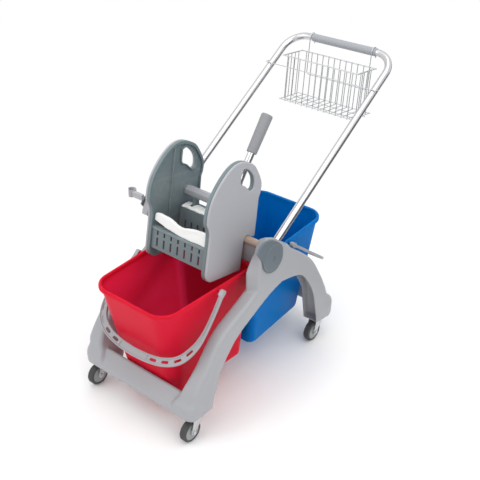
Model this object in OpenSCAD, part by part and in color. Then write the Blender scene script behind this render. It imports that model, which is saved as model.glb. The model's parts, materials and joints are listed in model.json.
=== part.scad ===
// Double mop bucket trolley: a plastic frame on four swivel casters carries two
// lift-out buckets, a lever wringer over the front one, and a wire basket on a
// tubular push handle.
// Millimetres. X is the width, -Y the front, +Z up. The origin is on the floor,
// midway between the four wheel contacts.

/* [Casters] */
// Diameter of each wheel
wheel_d = 75; // [68:0.5:78]
// Width of the wheel tread
wheel_w = 24; // [20:0.5:27]
// Distance between the left and right swivel axes
track = 420; // [412:1:428]
// Distance between the front and rear swivel axes
wheelbase = 652; // [640:1:664]
// Distance that each wheel runs in front of its swivel axis
trail = 28; // [24:1:31]
// Height of the casters, from the floor to the frame's feet
caster_h = 95; // [94:0.5:100]
// Diameter of the wheel axles
axle_d = 8; // [6:0.5:10]
// Diameter of the swivel pins
swivel_d = 12; // [10:0.5:14]
// Thickness of the fork's steel
fork_t = 2.5; // [2:0.25:3.5]

/* [Frame] */
// Width of the side arches
arch_w = 50; // [44:1:54]
// Wall thickness of the frame mouldings
frame_wall = 4; // [3:0.25:5]
// Reach of each foot inward from its swivel axis
foot_r = 55; // [50:1:58]
// How far each foot spreads outside the arch
foot_flare = 2; // [0:0.5:6]
// Fillet along the top edges of the arches
arch_fillet = 12; // [8:1:16]
// Height of the cross members above the feet
cross_h = 62; // [50:1:66]

/* [Cross bar] */
// Distance of the cross bar behind the wheel centre
bar_y = 49; // [46:0.5:52]
// Height of the cross bar's axis
bar_z = 522; // [518:1:528]
// Diameter of the cross bar
bar_d = 26; // [22:0.5:28]
// Thickness of the web below the cross bar
web_t = 8; // [6:0.5:9]

/* [Push handle] */
// Diameter of the handle tube
tube_d = 25; // [22:0.5:28]
// Wall thickness of the tubes
tube_wall = 1.5; // [1:0.25:2.5]
// Distance between the axes of the handle's two legs
handle_w = 430; // [426:1:434]
// Slope of the handle above the horizontal
handle_slope = 32.6; // [31:0.2:34]
// Length of the handle from its socket to the grip bar's axis
handle_len = 792; // [765:1:815]
// Bend radius of the handle, to the tube's axis
handle_bend = 75; // [60:1:90]
// Thickness of the grip sleeve
grip_t = 1.5; // [1:0.25:3]

/* [Buckets] */
// Height of the bucket rims above the floor
rim_z = 448; // [440:1:452]
// Depth of a bucket from its rim to its underside
bucket_h = 363; // [340:1:366]
// Width of a bucket over its rim
bucket_w = 342; // [330:1:346]
// Length of a bucket over its rim
bucket_len = 404; // [396:1:410]
// Gap between the two rims
bucket_gap = 12; // [10:0.5:14]
// Wall thickness of the buckets
bucket_wall = 3; // [2.5:0.25:4]
// Overhang of the rim outside the wall
rim_over = 8; // [6:0.5:9]
// Height of the rim band
rim_h = 14; // [10:0.5:18]
// Diameter of the bail pivots
pivot_d = 12; // [10:0.5:13]

/* [Bails] */
// Reach of a bail, from its pivots to the middle of its strap
bail_reach = 292; // [284:1:298]
// Reach of a level bail past its bucket's outer rim
bail_over = 60; // [52:1:68]
// Half width of a bail at its widest, to the middle of its strap
bail_half = 197; // [194:1:201]
// Width of the strap in the grip
strap_w = 27; // [22:0.5:30]
// Thickness of the strap
strap_t = 10; // [8:0.5:12]
// How far the front bail hangs below the horizontal
front_bail_drop = 40; // [36:1:41]
// How far the rear bail hangs below the horizontal
rear_bail_drop = 38; // [34:1:42]

/* [Wringer] */
// Width of the wringer over its side covers
wringer_w = 260; // [252:1:264]
// Rearward lean of the wringer
wringer_tilt = 10.5; // [9:0.5:12]
// Thickness of the outer side covers
cover_t = 9; // [7:0.5:11]
// Thickness of the inner side plates
plate_t = 5; // [4:0.5:6.5]
// Distance of the press shaft in front of the cross bar
shaft_in = 22; // [18:0.5:26]
// Height of the press shaft above the cross bar
shaft_up = 95; // [90:0.5:100]
// Size of the octagonal shaft across its flats
shaft_af = 32; // [28:0.5:34]
// Diameter of the shaft's journals
journal_d = 20; // [16:0.5:22]
// Backward lean of the lever from the vertical
lever_lean = 38; // [36:0.5:40]
// Length of the lever from the shaft's axis
lever_len = 310; // [295:1:322]
// Distance of the lever from the middle of the trolley
lever_x = 60; // [50:1:70]
// Diameter of the lever tube
lever_d = 24; // [20:0.5:26]

/* [Basket] */
// Inside width of the basket
basket_w = 314; // [300:1:330]
// Front-to-back depth of the basket
basket_d = 114; // [106:1:120]
// Height of the basket
basket_h = 158; // [146:1:168]
// Forward lean of the basket under the grip bar
basket_tilt = 6; // [4:0.5:8]
// Diameter of the basket wires
wire_d = 3; // [2.5:0.25:4]
// Distance of the basket's hooks from the middle of the trolley
hook_x = 128; // [120:1:132]

/* [Mop clip] */
// Diameter of the mop stick that the clip holds
stick_d = 24; // [20:0.5:26]
// Wall of the clip
clip_wall = 4; // [3:0.25:5]
// Height of the clip
clip_h = 24; // [18:1:30]

/* [Clearances] */
// Radial clearance of pins and shafts that turn
run_gap = 0.05; // [0.02:0.01:0.1]
// Gap between separate bodies that rest on each other
seat_gap = 0.3; // [0.2:0.05:0.5]

/* [Hidden] */
$fn = 48;

frame_grey = [0.66, 0.67, 0.68];
dark_grey = [0.38, 0.44, 0.45];
cover_grey = [0.64, 0.65, 0.67];
chrome = [0.85, 0.86, 0.87];
zinc = [0.75, 0.76, 0.78];
grip_grey = [0.68, 0.69, 0.70];
tyre_grey = [0.24, 0.25, 0.25];
hub_grey = [0.55, 0.56, 0.56];
bucket_red = [0.80, 0.13, 0.20];
bucket_blue = [0.02, 0.40, 0.68];
pad_white = [0.90, 0.91, 0.90];
bar_beige = [0.70, 0.63, 0.58];

eps = 0.01;
front_y = trail - wheelbase / 2;
rear_y = trail + wheelbase / 2;
side_x = track / 2;
wheel_r = wheel_d / 2;

// A smooth curve through the given points, with the given steps between two of them
function tangent(p, i) =
    i == 0 ? p[1] - p[0] :
    i == len(p) - 1 ? p[i] - p[i - 1] :
    (p[i + 1] - p[i - 1]) / 2;
function between(p, i, t) =
    (2 * t^3 - 3 * t^2 + 1) * p[i] + (t^3 - 2 * t^2 + t) * tangent(p, i)
    + (3 * t^2 - 2 * t^3) * p[i + 1] + (t^3 - t^2) * tangent(p, i + 1);
function smooth(p, steps) = [
    for (i = [0 : len(p) - 2])
        for (s = [0 : steps - 1]) between(p, i, s / steps),
    p[len(p) - 1]
];

function arc(centre, r, from, to, steps) = [
    for (i = [0 : steps]) centre + r * [cos(from + (to - from) * i / steps), sin(from + (to - from) * i / steps)]
];
function reversed(p) = [for (i = [len(p) - 1 : -1 : 0]) p[i]];

// A solid skin over a row of rings that have the same number of points
module loft(rings) {
    n = len(rings[0]);
    last = len(rings) - 1;
    sides = [
        for (k = [0 : last - 1])
            for (i = [0 : n - 1]) each [
                [k * n + i, (k + 1) * n + i, k * n + (i + 1) % n],
                [k * n + (i + 1) % n, (k + 1) * n + i, (k + 1) * n + (i + 1) % n]
            ]
    ];
    bottom = [for (i = [0 : n - 1]) i];
    top = [for (i = [n - 1 : -1 : 0]) last * n + i];
    polyhedron([for (r = rings) each r], concat([bottom], sides, [top]), convexity = 8);
}

// A profile drawn in Y and Z, extruded along X between two places
module side_profile(x0, x1) {
    translate([x0, 0, 0])
        rotate([90, 0, 90])
            linear_extrude(x1 - x0, convexity = 8)
                children();
}

// A round bar between two points
module rod(a, b, d) {
    v = b - a;
    translate(a)
        rotate([0, acos(v[2] / norm(v)), atan2(v[1], v[0])])
            cylinder(d = d, h = norm(v));
}

// Casters
stem_r = 8;
stem_up = 30;
race_r = 24;
race_t = 3;
crown_t = 4;
crown_r = 25;
head_t = 2.2;
cheek_gap = 2.5;
crown_z = caster_h - race_t - seat_gap - 9;
cheek_x = wheel_w / 2 + cheek_gap;

module at_caster(side, end_y) {
    translate([side * side_x, end_y, 0])
        children();
}

module caster_stem() {
    rotate_extrude()
        polygon([
            [0, crown_z - seat_gap - head_t], [swivel_d / 2 + 3, crown_z - seat_gap - head_t],
            [swivel_d / 2 + 3, crown_z - seat_gap], [swivel_d / 2, crown_z - seat_gap],
            [swivel_d / 2, caster_h - race_t], [race_r, caster_h - race_t], [race_r, caster_h],
            [stem_r, caster_h], [stem_r, caster_h + stem_up], [0, caster_h + stem_up]
        ]);
}

module caster_stems() {
    color(zinc)
        for (side = [-1, 1])
            for (end_y = [front_y, rear_y])
                at_caster(side, end_y) caster_stem();
}

// One cheek of the fork, from the crown down to the axle
module cheek_outline() {
    tip_r = axle_d / 2 + 6;
    difference() {
        union() {
            polygon([
                [-crown_r + 2, crown_z + crown_t], [crown_r - 2, crown_z + crown_t],
                [crown_r - 2, crown_z], [-trail + tip_r, wheel_r], [-trail - tip_r, wheel_r]
            ]);
            translate([-trail, wheel_r]) circle(r = tip_r);
        }
        translate([-trail, wheel_r]) circle(d = axle_d);
    }
}

module fork() {
    color(zinc) {
        difference() {
            rotate_extrude()
                polygon([
                    [0, crown_z], [crown_r, crown_z], [crown_r, crown_z + crown_t],
                    [race_r - 7, crown_z + 9], [0, crown_z + 9]
                ]);
            translate([0, 0, crown_z - 1])
                cylinder(d = swivel_d + 2 * run_gap, h = 12);
        }
        for (side = [-1, 1])
            side_profile(side * (cheek_x + fork_t / 2) - fork_t / 2, side * (cheek_x + fork_t / 2) + fork_t / 2)
                cheek_outline();
    }
}

module axle() {
    color(zinc)
        translate([0, -trail, wheel_r])
            rotate([0, 90, 0])
                for (side = [0, 180])
                    rotate([side, 0, 0]) {
                        cylinder(d = axle_d, h = cheek_x + fork_t);
                        translate([0, 0, cheek_x + fork_t]) cylinder(d = axle_d + 5, h = 4);
                    }
}

tread_t = 9;
hub_r = wheel_r - tread_t;
module wheel_hub() {
    dish = 4;
    color(hub_grey)
        translate([0, -trail, wheel_r])
            rotate([0, 90, 0])
                rotate_extrude()
                    polygon([
                        [axle_d / 2 + run_gap, -wheel_w / 2 - 1], [axle_d / 2 + 6, -wheel_w / 2 - 1],
                        [axle_d / 2 + 7, -wheel_w / 2 + dish], [hub_r - 3, -wheel_w / 2 + dish],
                        [hub_r, -wheel_w / 2 + 2], [hub_r, wheel_w / 2 - 2],
                        [hub_r - 3, wheel_w / 2 - dish], [axle_d / 2 + 7, wheel_w / 2 - dish],
                        [axle_d / 2 + 6, wheel_w / 2 + 1], [axle_d / 2 + run_gap, wheel_w / 2 + 1]
                    ]);
}

module tyre() {
    shoulder = 5;
    color(tyre_grey)
        translate([0, -trail, wheel_r])
            rotate([0, 90, 0])
                rotate_extrude()
                    polygon(concat(
                        [[hub_r, -wheel_w / 2 + 2], [hub_r + 1, -wheel_w / 2]],
                        arc([wheel_r - shoulder, -wheel_w / 2 + shoulder], shoulder, -90, 0, 5),
                        arc([wheel_r - shoulder, wheel_w / 2 - shoulder], shoulder, 0, 90, 5),
                        [[hub_r + 1, wheel_w / 2], [hub_r, wheel_w / 2 - 2]]
                    ));
}

// Frame
// Each station of an arch: top edge, underside edge, spread to the inside and to the
// outside of the arch, and the corner fillet on the outside
arch_shift = 5;
inner_x = side_x - arch_w / 2 + arch_shift;
outer_x = inner_x + arch_w;
foot_in = inner_x - (side_x - foot_r);
function front_station(y0, z0, y1, z1, spread, corner) =
    [front_y + y0, caster_h + z0, front_y + y1, caster_h + z1, spread * foot_in, spread * foot_flare, corner];
function mid_station(y0, z0, y1, z1) =
    [bar_y + y0, bar_z + z0, bar_y + y1, bar_z + z1, 0, 0, arch_fillet];
function rear_station(y0, z0, y1, z1, spread, corner) =
    [rear_y + y0, caster_h + z0, rear_y + y1, caster_h + z1, spread * foot_in, spread * foot_flare, corner];

front_arm = [
    front_station(-52, 0, 58, 0, 1, 44),
    front_station(-48, 34, 62, 36, 0.93, 40),
    front_station(-27, 90, 75, 84, 0.36, 24),
    front_station(19, 148, 94, 124, 0.06, arch_fillet),
    front_station(104, 239, 160, 196, 0, arch_fillet),
    mid_station(-112, -127, -80, -177),
    mid_station(-29, -80, -25, -158)
];
rear_arm = [
    mid_station(-29, -80, -25, -158),
    mid_station(60, -10, 40, -138),
    mid_station(101, -39, 71, -137),
    rear_station(-95, 296, -150, 257, 0, arch_fillet),
    rear_station(-37, 210, -91, 178, 0, arch_fillet),
    rear_station(3, 134, -67, 121, 0.08, arch_fillet),
    rear_station(26, 76, -57, 69, 0.42, 24),
    rear_station(60, 28, -49, 26, 0.93, 40),
    rear_station(68, 0, -45, 0, 1, 44)
];
// Both arms as one row of stations, from the front foot over the boss to the rear foot
whole_arch = concat(front_arm, [for (i = [1 : len(rear_arm) - 1]) rear_arm[i]]);

// A section of an arch, drawn in from its outside by the given wall
function arch_ring(s, wall) =
    let (
        top = [s[0], s[1]],
        under = [s[2], s[3]],
        along = (top - under) / norm(top - under),
        high = norm(top - under) - wall,
        low = wall > 0 ? -3 : 0,
        xi = inner_x - s[4] + wall,
        xo = outer_x + s[5] - wall,
        ri = max(arch_fillet - wall, 2),
        ro = max(s[6] - wall, 2),
        edge = concat(
            [[xi, low]],
            arc([xi + ri, high - ri], ri, 180, 90, 3),
            arc([xo - ro, high - ro], ro, 90, 0, 4),
            [[xo, low]]
        )
    )
    [for (e = edge) [e[0], under[0] + along[0] * e[1], under[1] + along[1] * e[1]]];

module arch_skin(stations, wall) {
    loft([for (s = smooth(stations, 3)) arch_ring(s, wall)]);
}

// The boss that carries the cross bar and the handle is as thick as the handle's legs need
leg_cover = 12.5;
leg_skin = 2.5;
boss_out = handle_w / 2 + tube_d / 2 + leg_cover;
boss_in = handle_w / 2 - tube_d / 2 - leg_skin;
module boss_outline() {
    polygon([
        for (p = concat(
            [[-97, -130]],
            smooth([[-97, -20], [-97, 20], [-92, 44], [-66, 64], [-38, 65], [-4, 52], [36, 18], [64, -12]], 4),
            [[60, -60], [45, -140], [-20, -160]]
        )) [bar_y + p[0], bar_z + p[1]]
    ]);
}

// Where the handle's legs start inside the bosses, and their direction
leg_start = [bar_y + 24.6, bar_z];
leg_dir = [cos(handle_slope), sin(handle_slope)];

module side_frame() {
    color(frame_grey)
        difference() {
            union() {
                difference() {
                    arch_skin(whole_arch, 0);
                    difference() {
                        union() {
                            arch_skin([for (i = [0 : 5]) front_arm[i]], frame_wall);
                            arch_skin([for (i = [2 : 8]) rear_arm[i]], frame_wall);
                        }
                        translate([0, front_y - wheelbase, 0])
                            cube([2 * outer_x, 3 * wheelbase, caster_h + frame_wall]);
                    }
                }
                side_profile(boss_in, boss_out) boss_outline();
                for (end_y = [front_y, rear_y])
                    translate([side_x, end_y, caster_h])
                        cylinder(r = stem_r + 6, h = stem_up + 4);
            }
            for (end_y = [front_y, rear_y])
                translate([side_x, end_y, caster_h - 1])
                    cylinder(r = stem_r, h = stem_up + 1);
            translate([boss_in - 1, bar_y, bar_z])
                rotate([0, 90, 0]) cylinder(d = bar_d, h = bar_seat + 1);
            handle_leg_bore();
        }
}

bar_seat = 14;
module handle_leg_bore() {
    translate([handle_w / 2, leg_start[0], leg_start[1]])
        rotate([handle_slope - 90, 0, 0])
            cylinder(d = tube_d, h = 8 * tube_d);
}

module side_frame_right() {
    side_frame();
}

module side_frame_left() {
    mirror([1, 0, 0]) side_frame();
}

// The solid space of both side arches, which the cross members butt against
module both_arches() {
    for (m = [0, 1])
        mirror([m, 0, 0]) arch_skin(whole_arch, 0);
}

// A cross member: an apron with a sloping top over a channel, and a lip for the bucket.
// Drawn with Y pointing inward from the outer face.
lip_in = 22;
lip_t = 7;
lip_half = 100;
front_cross_y = front_y - 52;
rear_cross_y = rear_y + 68;
front_cross_depth = 46;
rear_cross_depth = 22;
module apron_outline(depth, wall) {
    polygon([
        [wall, wall > 0 ? -1 : 0], [wall, cross_h * 0.4 - wall / 3], [depth - 8, cross_h - wall * 1.4],
        [depth - wall, cross_h - wall * 1.4], [depth - wall, wall > 0 ? -1 : 0]
    ]);
}

module cross_member(depth) {
    side_profile(-side_x, side_x)
        difference() {
            apron_outline(depth, 0);
            apron_outline(depth, frame_wall);
        }
    translate([-lip_half, depth - eps, shoulder_z - seat_gap - lip_t - caster_h])
        cube([2 * lip_half, lip_in, lip_t]);
}

module front_cross_member() {
    color(frame_grey)
        difference() {
            translate([0, front_cross_y, caster_h]) cross_member(front_cross_depth);
            both_arches();
        }
}

module rear_cross_member() {
    color(frame_grey)
        difference() {
            translate([0, rear_cross_y, caster_h])
                mirror([0, 1, 0]) cross_member(rear_cross_depth);
            both_arches();
        }
}

// The beam between the bosses: a web under the cross bar with a flange that holds the inner rims
beam_low = 130;
flange_t = 6;
module centre_beam() {
    flange_half = bucket_gap / 2 + rim_over - 2;
    flange_top = rim_z - rim_h - seat_gap;
    color(frame_grey)
        difference() {
            side_profile(-boss_in, boss_in)
                union() {
                    difference() {
                        translate([bar_y - web_t / 2, bar_z - beam_low])
                            square([web_t, beam_low]);
                        translate([bar_y, bar_z]) circle(d = bar_d);
                    }
                    translate([bar_y - flange_half, flange_top - flange_t])
                        square([2 * flange_half, flange_t]);
                }
            both_arches();
        }
}

module cross_bar() {
    half = boss_in + bar_seat;
    color(bar_beige)
        translate([-half, bar_y, bar_z])
            rotate([0, 90, 0])
                difference() {
                    cylinder(d = bar_d, h = 2 * half);
                    translate([0, 0, -1]) cylinder(d = bar_d - 4 * tube_wall, h = 2 * half + 2);
                }
}

// Push handle, drawn flat with Y along its legs and then tipped up
module handle_path(d) {
    half = handle_w / 2;
    for (side = [-1, 1]) {
        translate([side * half, 0, 0])
            rotate([-90, 0, 0]) cylinder(d = d, h = handle_len - handle_bend);
        translate([side * (half - handle_bend), handle_len - handle_bend, 0])
            rotate([0, 0, side > 0 ? 0 : 90])
                rotate_extrude(angle = 90) translate([handle_bend, 0]) circle(d = d);
    }
    translate([-half + handle_bend, handle_len, 0])
        rotate([0, 90, 0]) cylinder(d = d, h = handle_w - 2 * handle_bend);
}

module at_handle() {
    translate([0, leg_start[0], leg_start[1]])
        rotate([handle_slope, 0, 0])
            children();
}

module handle_tube() {
    color(chrome)
        at_handle()
            difference() {
                handle_path(tube_d);
                handle_path(tube_d - 2 * tube_wall);
            }
}

grip_from = -hook_x + 6;
grip_to = handle_w / 2 - handle_bend;
module handle_grip() {
    color(grip_grey)
        at_handle()
            translate([grip_from, handle_len, 0])
                rotate([0, 90, 0])
                    difference() {
                        cylinder(d = tube_d + 2 * grip_t, h = grip_to - grip_from);
                        translate([0, 0, -1]) cylinder(d = tube_d, h = grip_to - grip_from + 2);
                    }
}

// Hub cover: a bean-shaped clamp plate on the outside of each boss
hub_cover_t = 7;
module hub_outline() {
    bean = [
        [-95, 36], [-69, 58], [-43, 59], [-11, 46], [29, 12], [36, -24], [26, -50],
        [-1, -67], [-35, -62], [-58, -36], [-65, -9], [-79, 14], [-95, 36]
    ];
    polygon([for (p = smooth(bean, 4)) [bar_y + p[0], bar_z + p[1]]]);
}

module hub_cover() {
    disc = [bar_y - 15, bar_z - 14];
    color(dark_grey) {
        side_profile(boss_out, boss_out + hub_cover_t) hub_outline();
        translate([boss_out + hub_cover_t - eps, disc[0], disc[1]])
            rotate([0, 90, 0]) cylinder(d1 = 92, d2 = 84, h = 3);
    }
}

module hub_cover_right() {
    hub_cover();
}

module hub_cover_left() {
    mirror([1, 0, 0]) hub_cover();
}

// Mop clip: an arm on the far boss that ends in an open ring for a mop stick
clip_out = 52;
clip_at = [-boss_out - clip_out, bar_y - 86, bar_z + 61];
module mop_clip() {
    ring_r = stick_d / 2 + clip_wall;
    color(cover_grey) {
        difference() {
            translate([clip_at[0], clip_at[1], clip_at[2] - clip_h / 2])
                cylinder(r = ring_r, h = clip_h);
            translate([clip_at[0], clip_at[1], clip_at[2] - clip_h])
                cylinder(d = stick_d, h = 2 * clip_h);
            translate([clip_at[0], clip_at[1], clip_at[2] - clip_h])
                rotate([0, 0, 205])
                    linear_extrude(2 * clip_h)
                        polygon([[0, 0], [40, -26], [40, 26]]);
        }
        difference() {
            translate([clip_at[0], clip_at[1] - 11, clip_at[2] - 9])
                cube([clip_out + 2, 12, 20]);
            translate([clip_at[0], clip_at[1], clip_at[2] - clip_h])
                cylinder(d = stick_d + 2 * clip_wall - 1, h = 2 * clip_h);
        }
        // The saddle that sits on the boss's upper corner
        difference() {
            translate([-boss_out, clip_at[1] - 15, clip_at[2] - 31])
                cube([28, 30, 42]);
            mirror([1, 0, 0])
                side_profile(boss_in - 1, boss_out + 1) boss_outline();
        }
    }
}

// Buckets, drawn with Y running outward from the trolley's middle
shoulder_z = caster_h + 17;
wall_top_z = rim_z - rim_h;
bucket_low_z = rim_z - bucket_h;
side_draft = 0.095;
outer_draft = 0.193;
inner_draft = 0.026;
outer_taper = 13;
shoulder_set = 16;
// Outline of a bucket at a height, drawn in by the given amount
function bucket_ring(z, set) =
    let (
        fall = wall_top_z - z,
        half_in = bucket_w / 2 - rim_over - fall * side_draft - set,
        half_out = half_in - outer_taper,
        y_in = bucket_gap / 2 + rim_over + fall * inner_draft + set,
        y_out = bucket_gap / 2 + bucket_len - rim_over - fall * outer_draft - set,
        r_in = max(26 - set, 4),
        r_out = max(58 - fall * 0.03 - set, 4)
    )
    [for (p = concat(
        arc([half_in - r_in, y_in + r_in], r_in, -90, 0, 5),
        arc([half_out - r_out, y_out - r_out], r_out, 0, 90, 7),
        arc([-half_out + r_out, y_out - r_out], r_out, 90, 180, 7),
        arc([-half_in + r_in, y_in + r_in], r_in, 180, 270, 5)
    )) [p[0], p[1], z]];
function at_z(ring, z) = [for (p = ring) [p[0], p[1], z]];
function stepped(ring, cut) = [for (p = ring) [p[0], min(p[1], cut), p[2]]];
shoulder_y = bucket_gap / 2 + bucket_len - rim_over - (wall_top_z - shoulder_z) * outer_draft - shoulder_set;

module bucket_body() {
    low = stepped(bucket_ring(bucket_low_z, 0), shoulder_y);
    low_in = stepped(bucket_ring(bucket_low_z + bucket_wall, bucket_wall), shoulder_y - bucket_wall);
    step_in = stepped(bucket_ring(shoulder_z, bucket_wall), shoulder_y - bucket_wall);
    difference() {
        union() {
            loft([bucket_ring(shoulder_z, 0), bucket_ring(wall_top_z + 2, 0)]);
            loft([low, stepped(bucket_ring(shoulder_z + bucket_wall, 0), shoulder_y)]);
            loft([
                at_z(bucket_ring(wall_top_z, -rim_over), wall_top_z),
                at_z(bucket_ring(wall_top_z, -rim_over), rim_z - 3),
                at_z(bucket_ring(wall_top_z, -rim_over + 3), rim_z)
            ]);
        }
        loft([bucket_ring(shoulder_z + bucket_wall, bucket_wall), bucket_ring(rim_z + 1, bucket_wall)]);
        loft([low_in, stepped(bucket_ring(shoulder_z + bucket_wall + 1, bucket_wall), shoulder_y - bucket_wall)]);
    }
}

// The studs that the bails turn on
pivot_in = bucket_len + bail_over - bail_reach;
pivot_y = bucket_gap / 2 + pivot_in;
pivot_z = rim_z - 10;
ear_w = 14;
ear_in = bucket_w / 2 + 3;
stud_in = 9;
module bail_studs() {
    for (side = [0, 180])
        rotate([0, 0, side])
            translate([bucket_w / 2 - rim_over + 1, side == 0 ? pivot_y : -pivot_y, pivot_z])
                rotate([0, 90, 0])
                    cylinder(d = pivot_d, h = ear_in + stud_in - bucket_w / 2 + rim_over - 1);
}

module bucket() {
    bucket_body();
    bail_studs();
}

module at_front_bucket() {
    translate([0, bar_y, 0])
        mirror([0, 1, 0]) children();
}

module at_rear_bucket() {
    translate([0, bar_y, 0]) children();
}

module red_bucket() {
    color(bucket_red) at_front_bucket() bucket();
}

module blue_bucket() {
    color(bucket_blue) at_rear_bucket() bucket();
}

// Bails, drawn flat with Y along their reach
ear_r = pivot_d / 2 + 2.5;
ear_l = 14;
bail_curve = [
    [ear_in + ear_w / 2, 0], [bail_half - 6, bail_reach * 0.24], [bail_half, bail_reach * 0.48],
    [bail_half - 6, bail_reach * 0.668], [bail_half * 0.84, bail_reach * 0.8425],
    [bail_half * 0.6, bail_reach * 0.942], [bail_half * 0.3, bail_reach * 0.986], [0, bail_reach]
];
function strap_half(y) = let (t = min(1, y / 130)) ear_w / 2 + (strap_w - ear_w) / 2 * t * t * (3 - 2 * t);
function unit(v) = v / norm(v);
function curve_normal(p, i) =
    let (d = unit(p[min(i + 1, len(p) - 1)] - p[max(i - 1, 0)])) [d[1], -d[0]];
function strap_edge(p, sign) = [for (i = [0 : len(p) - 1]) p[i] + sign * strap_half(p[i][1]) * curve_normal(p, i)];

module strap_outline() {
    right = smooth(bail_curve, 4);
    whole = concat(right, [for (i = [len(right) - 2 : -1 : 0]) [-right[i][0], right[i][1]]]);
    polygon(concat(strap_edge(whole, 1), reversed(strap_edge(whole, -1))));
}

slot_l = 24;
slot_w = 9;
module strap_slots() {
    right = smooth(bail_curve, 4);
    for (side = [-1, 1])
        for (i = [17, 19, 21, 24]) {
            at = right[i];
            n = curve_normal(right, i);
            translate([side * at[0], at[1], -strap_t])
                rotate([0, 0, atan2(n[0], -side * n[1])])
                    linear_extrude(2 * strap_t)
                        square([slot_l, slot_w], center = true);
        }
}

module bail() {
    difference() {
        union() {
            translate([0, 0, -strap_t / 2])
                linear_extrude(strap_t, convexity = 8) strap_outline();
            for (m = [0, 1])
                mirror([m, 0, 0])
                    side_profile(ear_in, ear_in + ear_w)
                        polygon(concat(arc([0, 0], ear_r, 90, 270, 10), [[ear_l, -ear_r], [ear_l, ear_r]]));
        }
        strap_slots();
        for (m = [0, 1])
            mirror([m, 0, 0])
                translate([ear_in - 1, 0, 0])
                    rotate([0, 90, 0]) cylinder(d = pivot_d + 2 * run_gap, h = stud_in + seat_gap + 1);
        for (side = [-1, 1])
            translate([side * (ear_in - 20), 0, 0])
                cube([40 - eps, 2 * ear_r + 24, 2 * ear_r + 2], center = true);
    }
}

module red_bail() {
    color(frame_grey)
        at_front_bucket()
            translate([0, pivot_y, pivot_z])
                rotate([-front_bail_drop, 0, 0]) bail();
}

module blue_bail() {
    color(frame_grey)
        at_rear_bucket()
            translate([0, pivot_y, pivot_z])
                rotate([-rear_bail_drop, 0, 0]) bail();
}

// Wringer, drawn upright about the cross bar's axis and then leant back
module at_wringer() {
    translate([0, bar_y, bar_z])
        rotate([-wringer_tilt, 0, 0])
            children();
}

cover_in = wringer_w / 2 - cover_t;
plate_in = cover_in - plate_t;
hook_r = bar_d / 2 + seat_gap;
hook_rear = 40;
plate_low = -104;
plate_mid = [-80, 85];
plate_points = concat(
    arc([-150, plate_low + 36], 36, 270, 180, 5),
    smooth([
        [-186, -54], [-185, 56], [-202, 101], [-194, 161], [-162, 215], [-117, 256], [-71, 268],
        [-17, 253], [11, 229], [40, 185], [42, 152], [36, 132]
    ], 3),
    [[hook_rear, 20], [hook_rear, 2], [0, 2], [0, 0], [-hook_r - 1, 0], [-hook_r - 1, plate_low]]
);
hole_points = smooth([
    [-66, 238], [-64, 197], [-40, 185], [-14, 166], [4, 172], [0, 204], [-24, 230], [-52, 243], [-66, 238]
], 3);
function drawn_in(points, share) = [for (p = points) plate_mid + (p - plate_mid) * share];

// The plate's outline, with the hand hole and the notch that hooks over the cross bar
module plate_outline(share) {
    difference() {
        polygon(drawn_in(plate_points, share));
        polygon(hole_points);
        circle(r = hook_r);
    }
}

// The sunk field inside the plate's rim
module plate_field() {
    difference() {
        polygon(drawn_in(plate_points, rim_share));
        circle(r = hook_r + 5);
    }
}

rim_in = 6;
rim_share = 0.94;
rib_y = -104;
rib_w = 5;
bush_r = journal_d / 2 + 4;
flange_r = bush_r + 6;
bush_lip = 3;
module wringer_plate() {
    color(dark_grey)
        at_wringer()
            difference() {
                union() {
                    side_profile(plate_in, cover_in) plate_outline(1);
                    side_profile(plate_in - rim_in, plate_in)
                        difference() {
                            plate_outline(1);
                            plate_field();
                        }
                    side_profile(plate_in - rim_in, plate_in)
                        translate([rib_y, 30]) square([rib_w, 222]);
                }
                translate([0, -shaft_in, shaft_up])
                    rotate([0, 90, 0]) cylinder(r = bush_r, h = wringer_w);
            }
}

module wringer_plate_right() {
    wringer_plate();
}

module wringer_plate_left() {
    mirror([1, 0, 0]) wringer_plate();
}

// The light cover over each plate: a shallow tray with a stepped edge
cover_skin = 3.5;
edge_step = 2;
module wringer_cover() {
    color(cover_grey)
        at_wringer() {
            side_profile(cover_in, wringer_w / 2 - cover_skin)
                difference() {
                    plate_outline(1);
                    plate_field();
                }
            side_profile(wringer_w / 2 - cover_skin, wringer_w / 2 - edge_step) plate_outline(1);
            side_profile(wringer_w / 2 - edge_step, wringer_w / 2) plate_outline(0.975);
        }
}

module wringer_cover_right() {
    wringer_cover();
}

module wringer_cover_left() {
    mirror([1, 0, 0]) wringer_cover();
}

// The fixed front jaw: a slotted wall under a rail that carries the front pad
wall_y = -178;
wall_t = 7;
wall_low = -66;
rail_low = -2;
rail_t = 9;
rail_front = -178.5;
rail_back = -160;
columns = 7;
drain_w = 7;
drain_h = 30;
module drain_slots(half, low, pitch_z, rows) {
    pitch = 2 * half / (columns + 1);
    for (i = [1 : columns])
        for (k = [0 : rows - 1])
            translate([-half + i * pitch - drain_w / 2, -50, low + k * pitch_z])
                cube([drain_w, 100, drain_h]);
}

module wringer_front_wall() {
    color(dark_grey)
        at_wringer() {
            difference() {
                translate([-plate_in, wall_y, wall_low])
                    cube([2 * plate_in, wall_t, rail_low - wall_low]);
                translate([0, wall_y, 0])
                    drain_slots(plate_in, wall_low + 10, drain_h + 9, 2);
            }
            translate([-plate_in, rail_front, rail_low])
                cube([2 * plate_in, rail_back - rail_front, rail_t]);
        }
}

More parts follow.
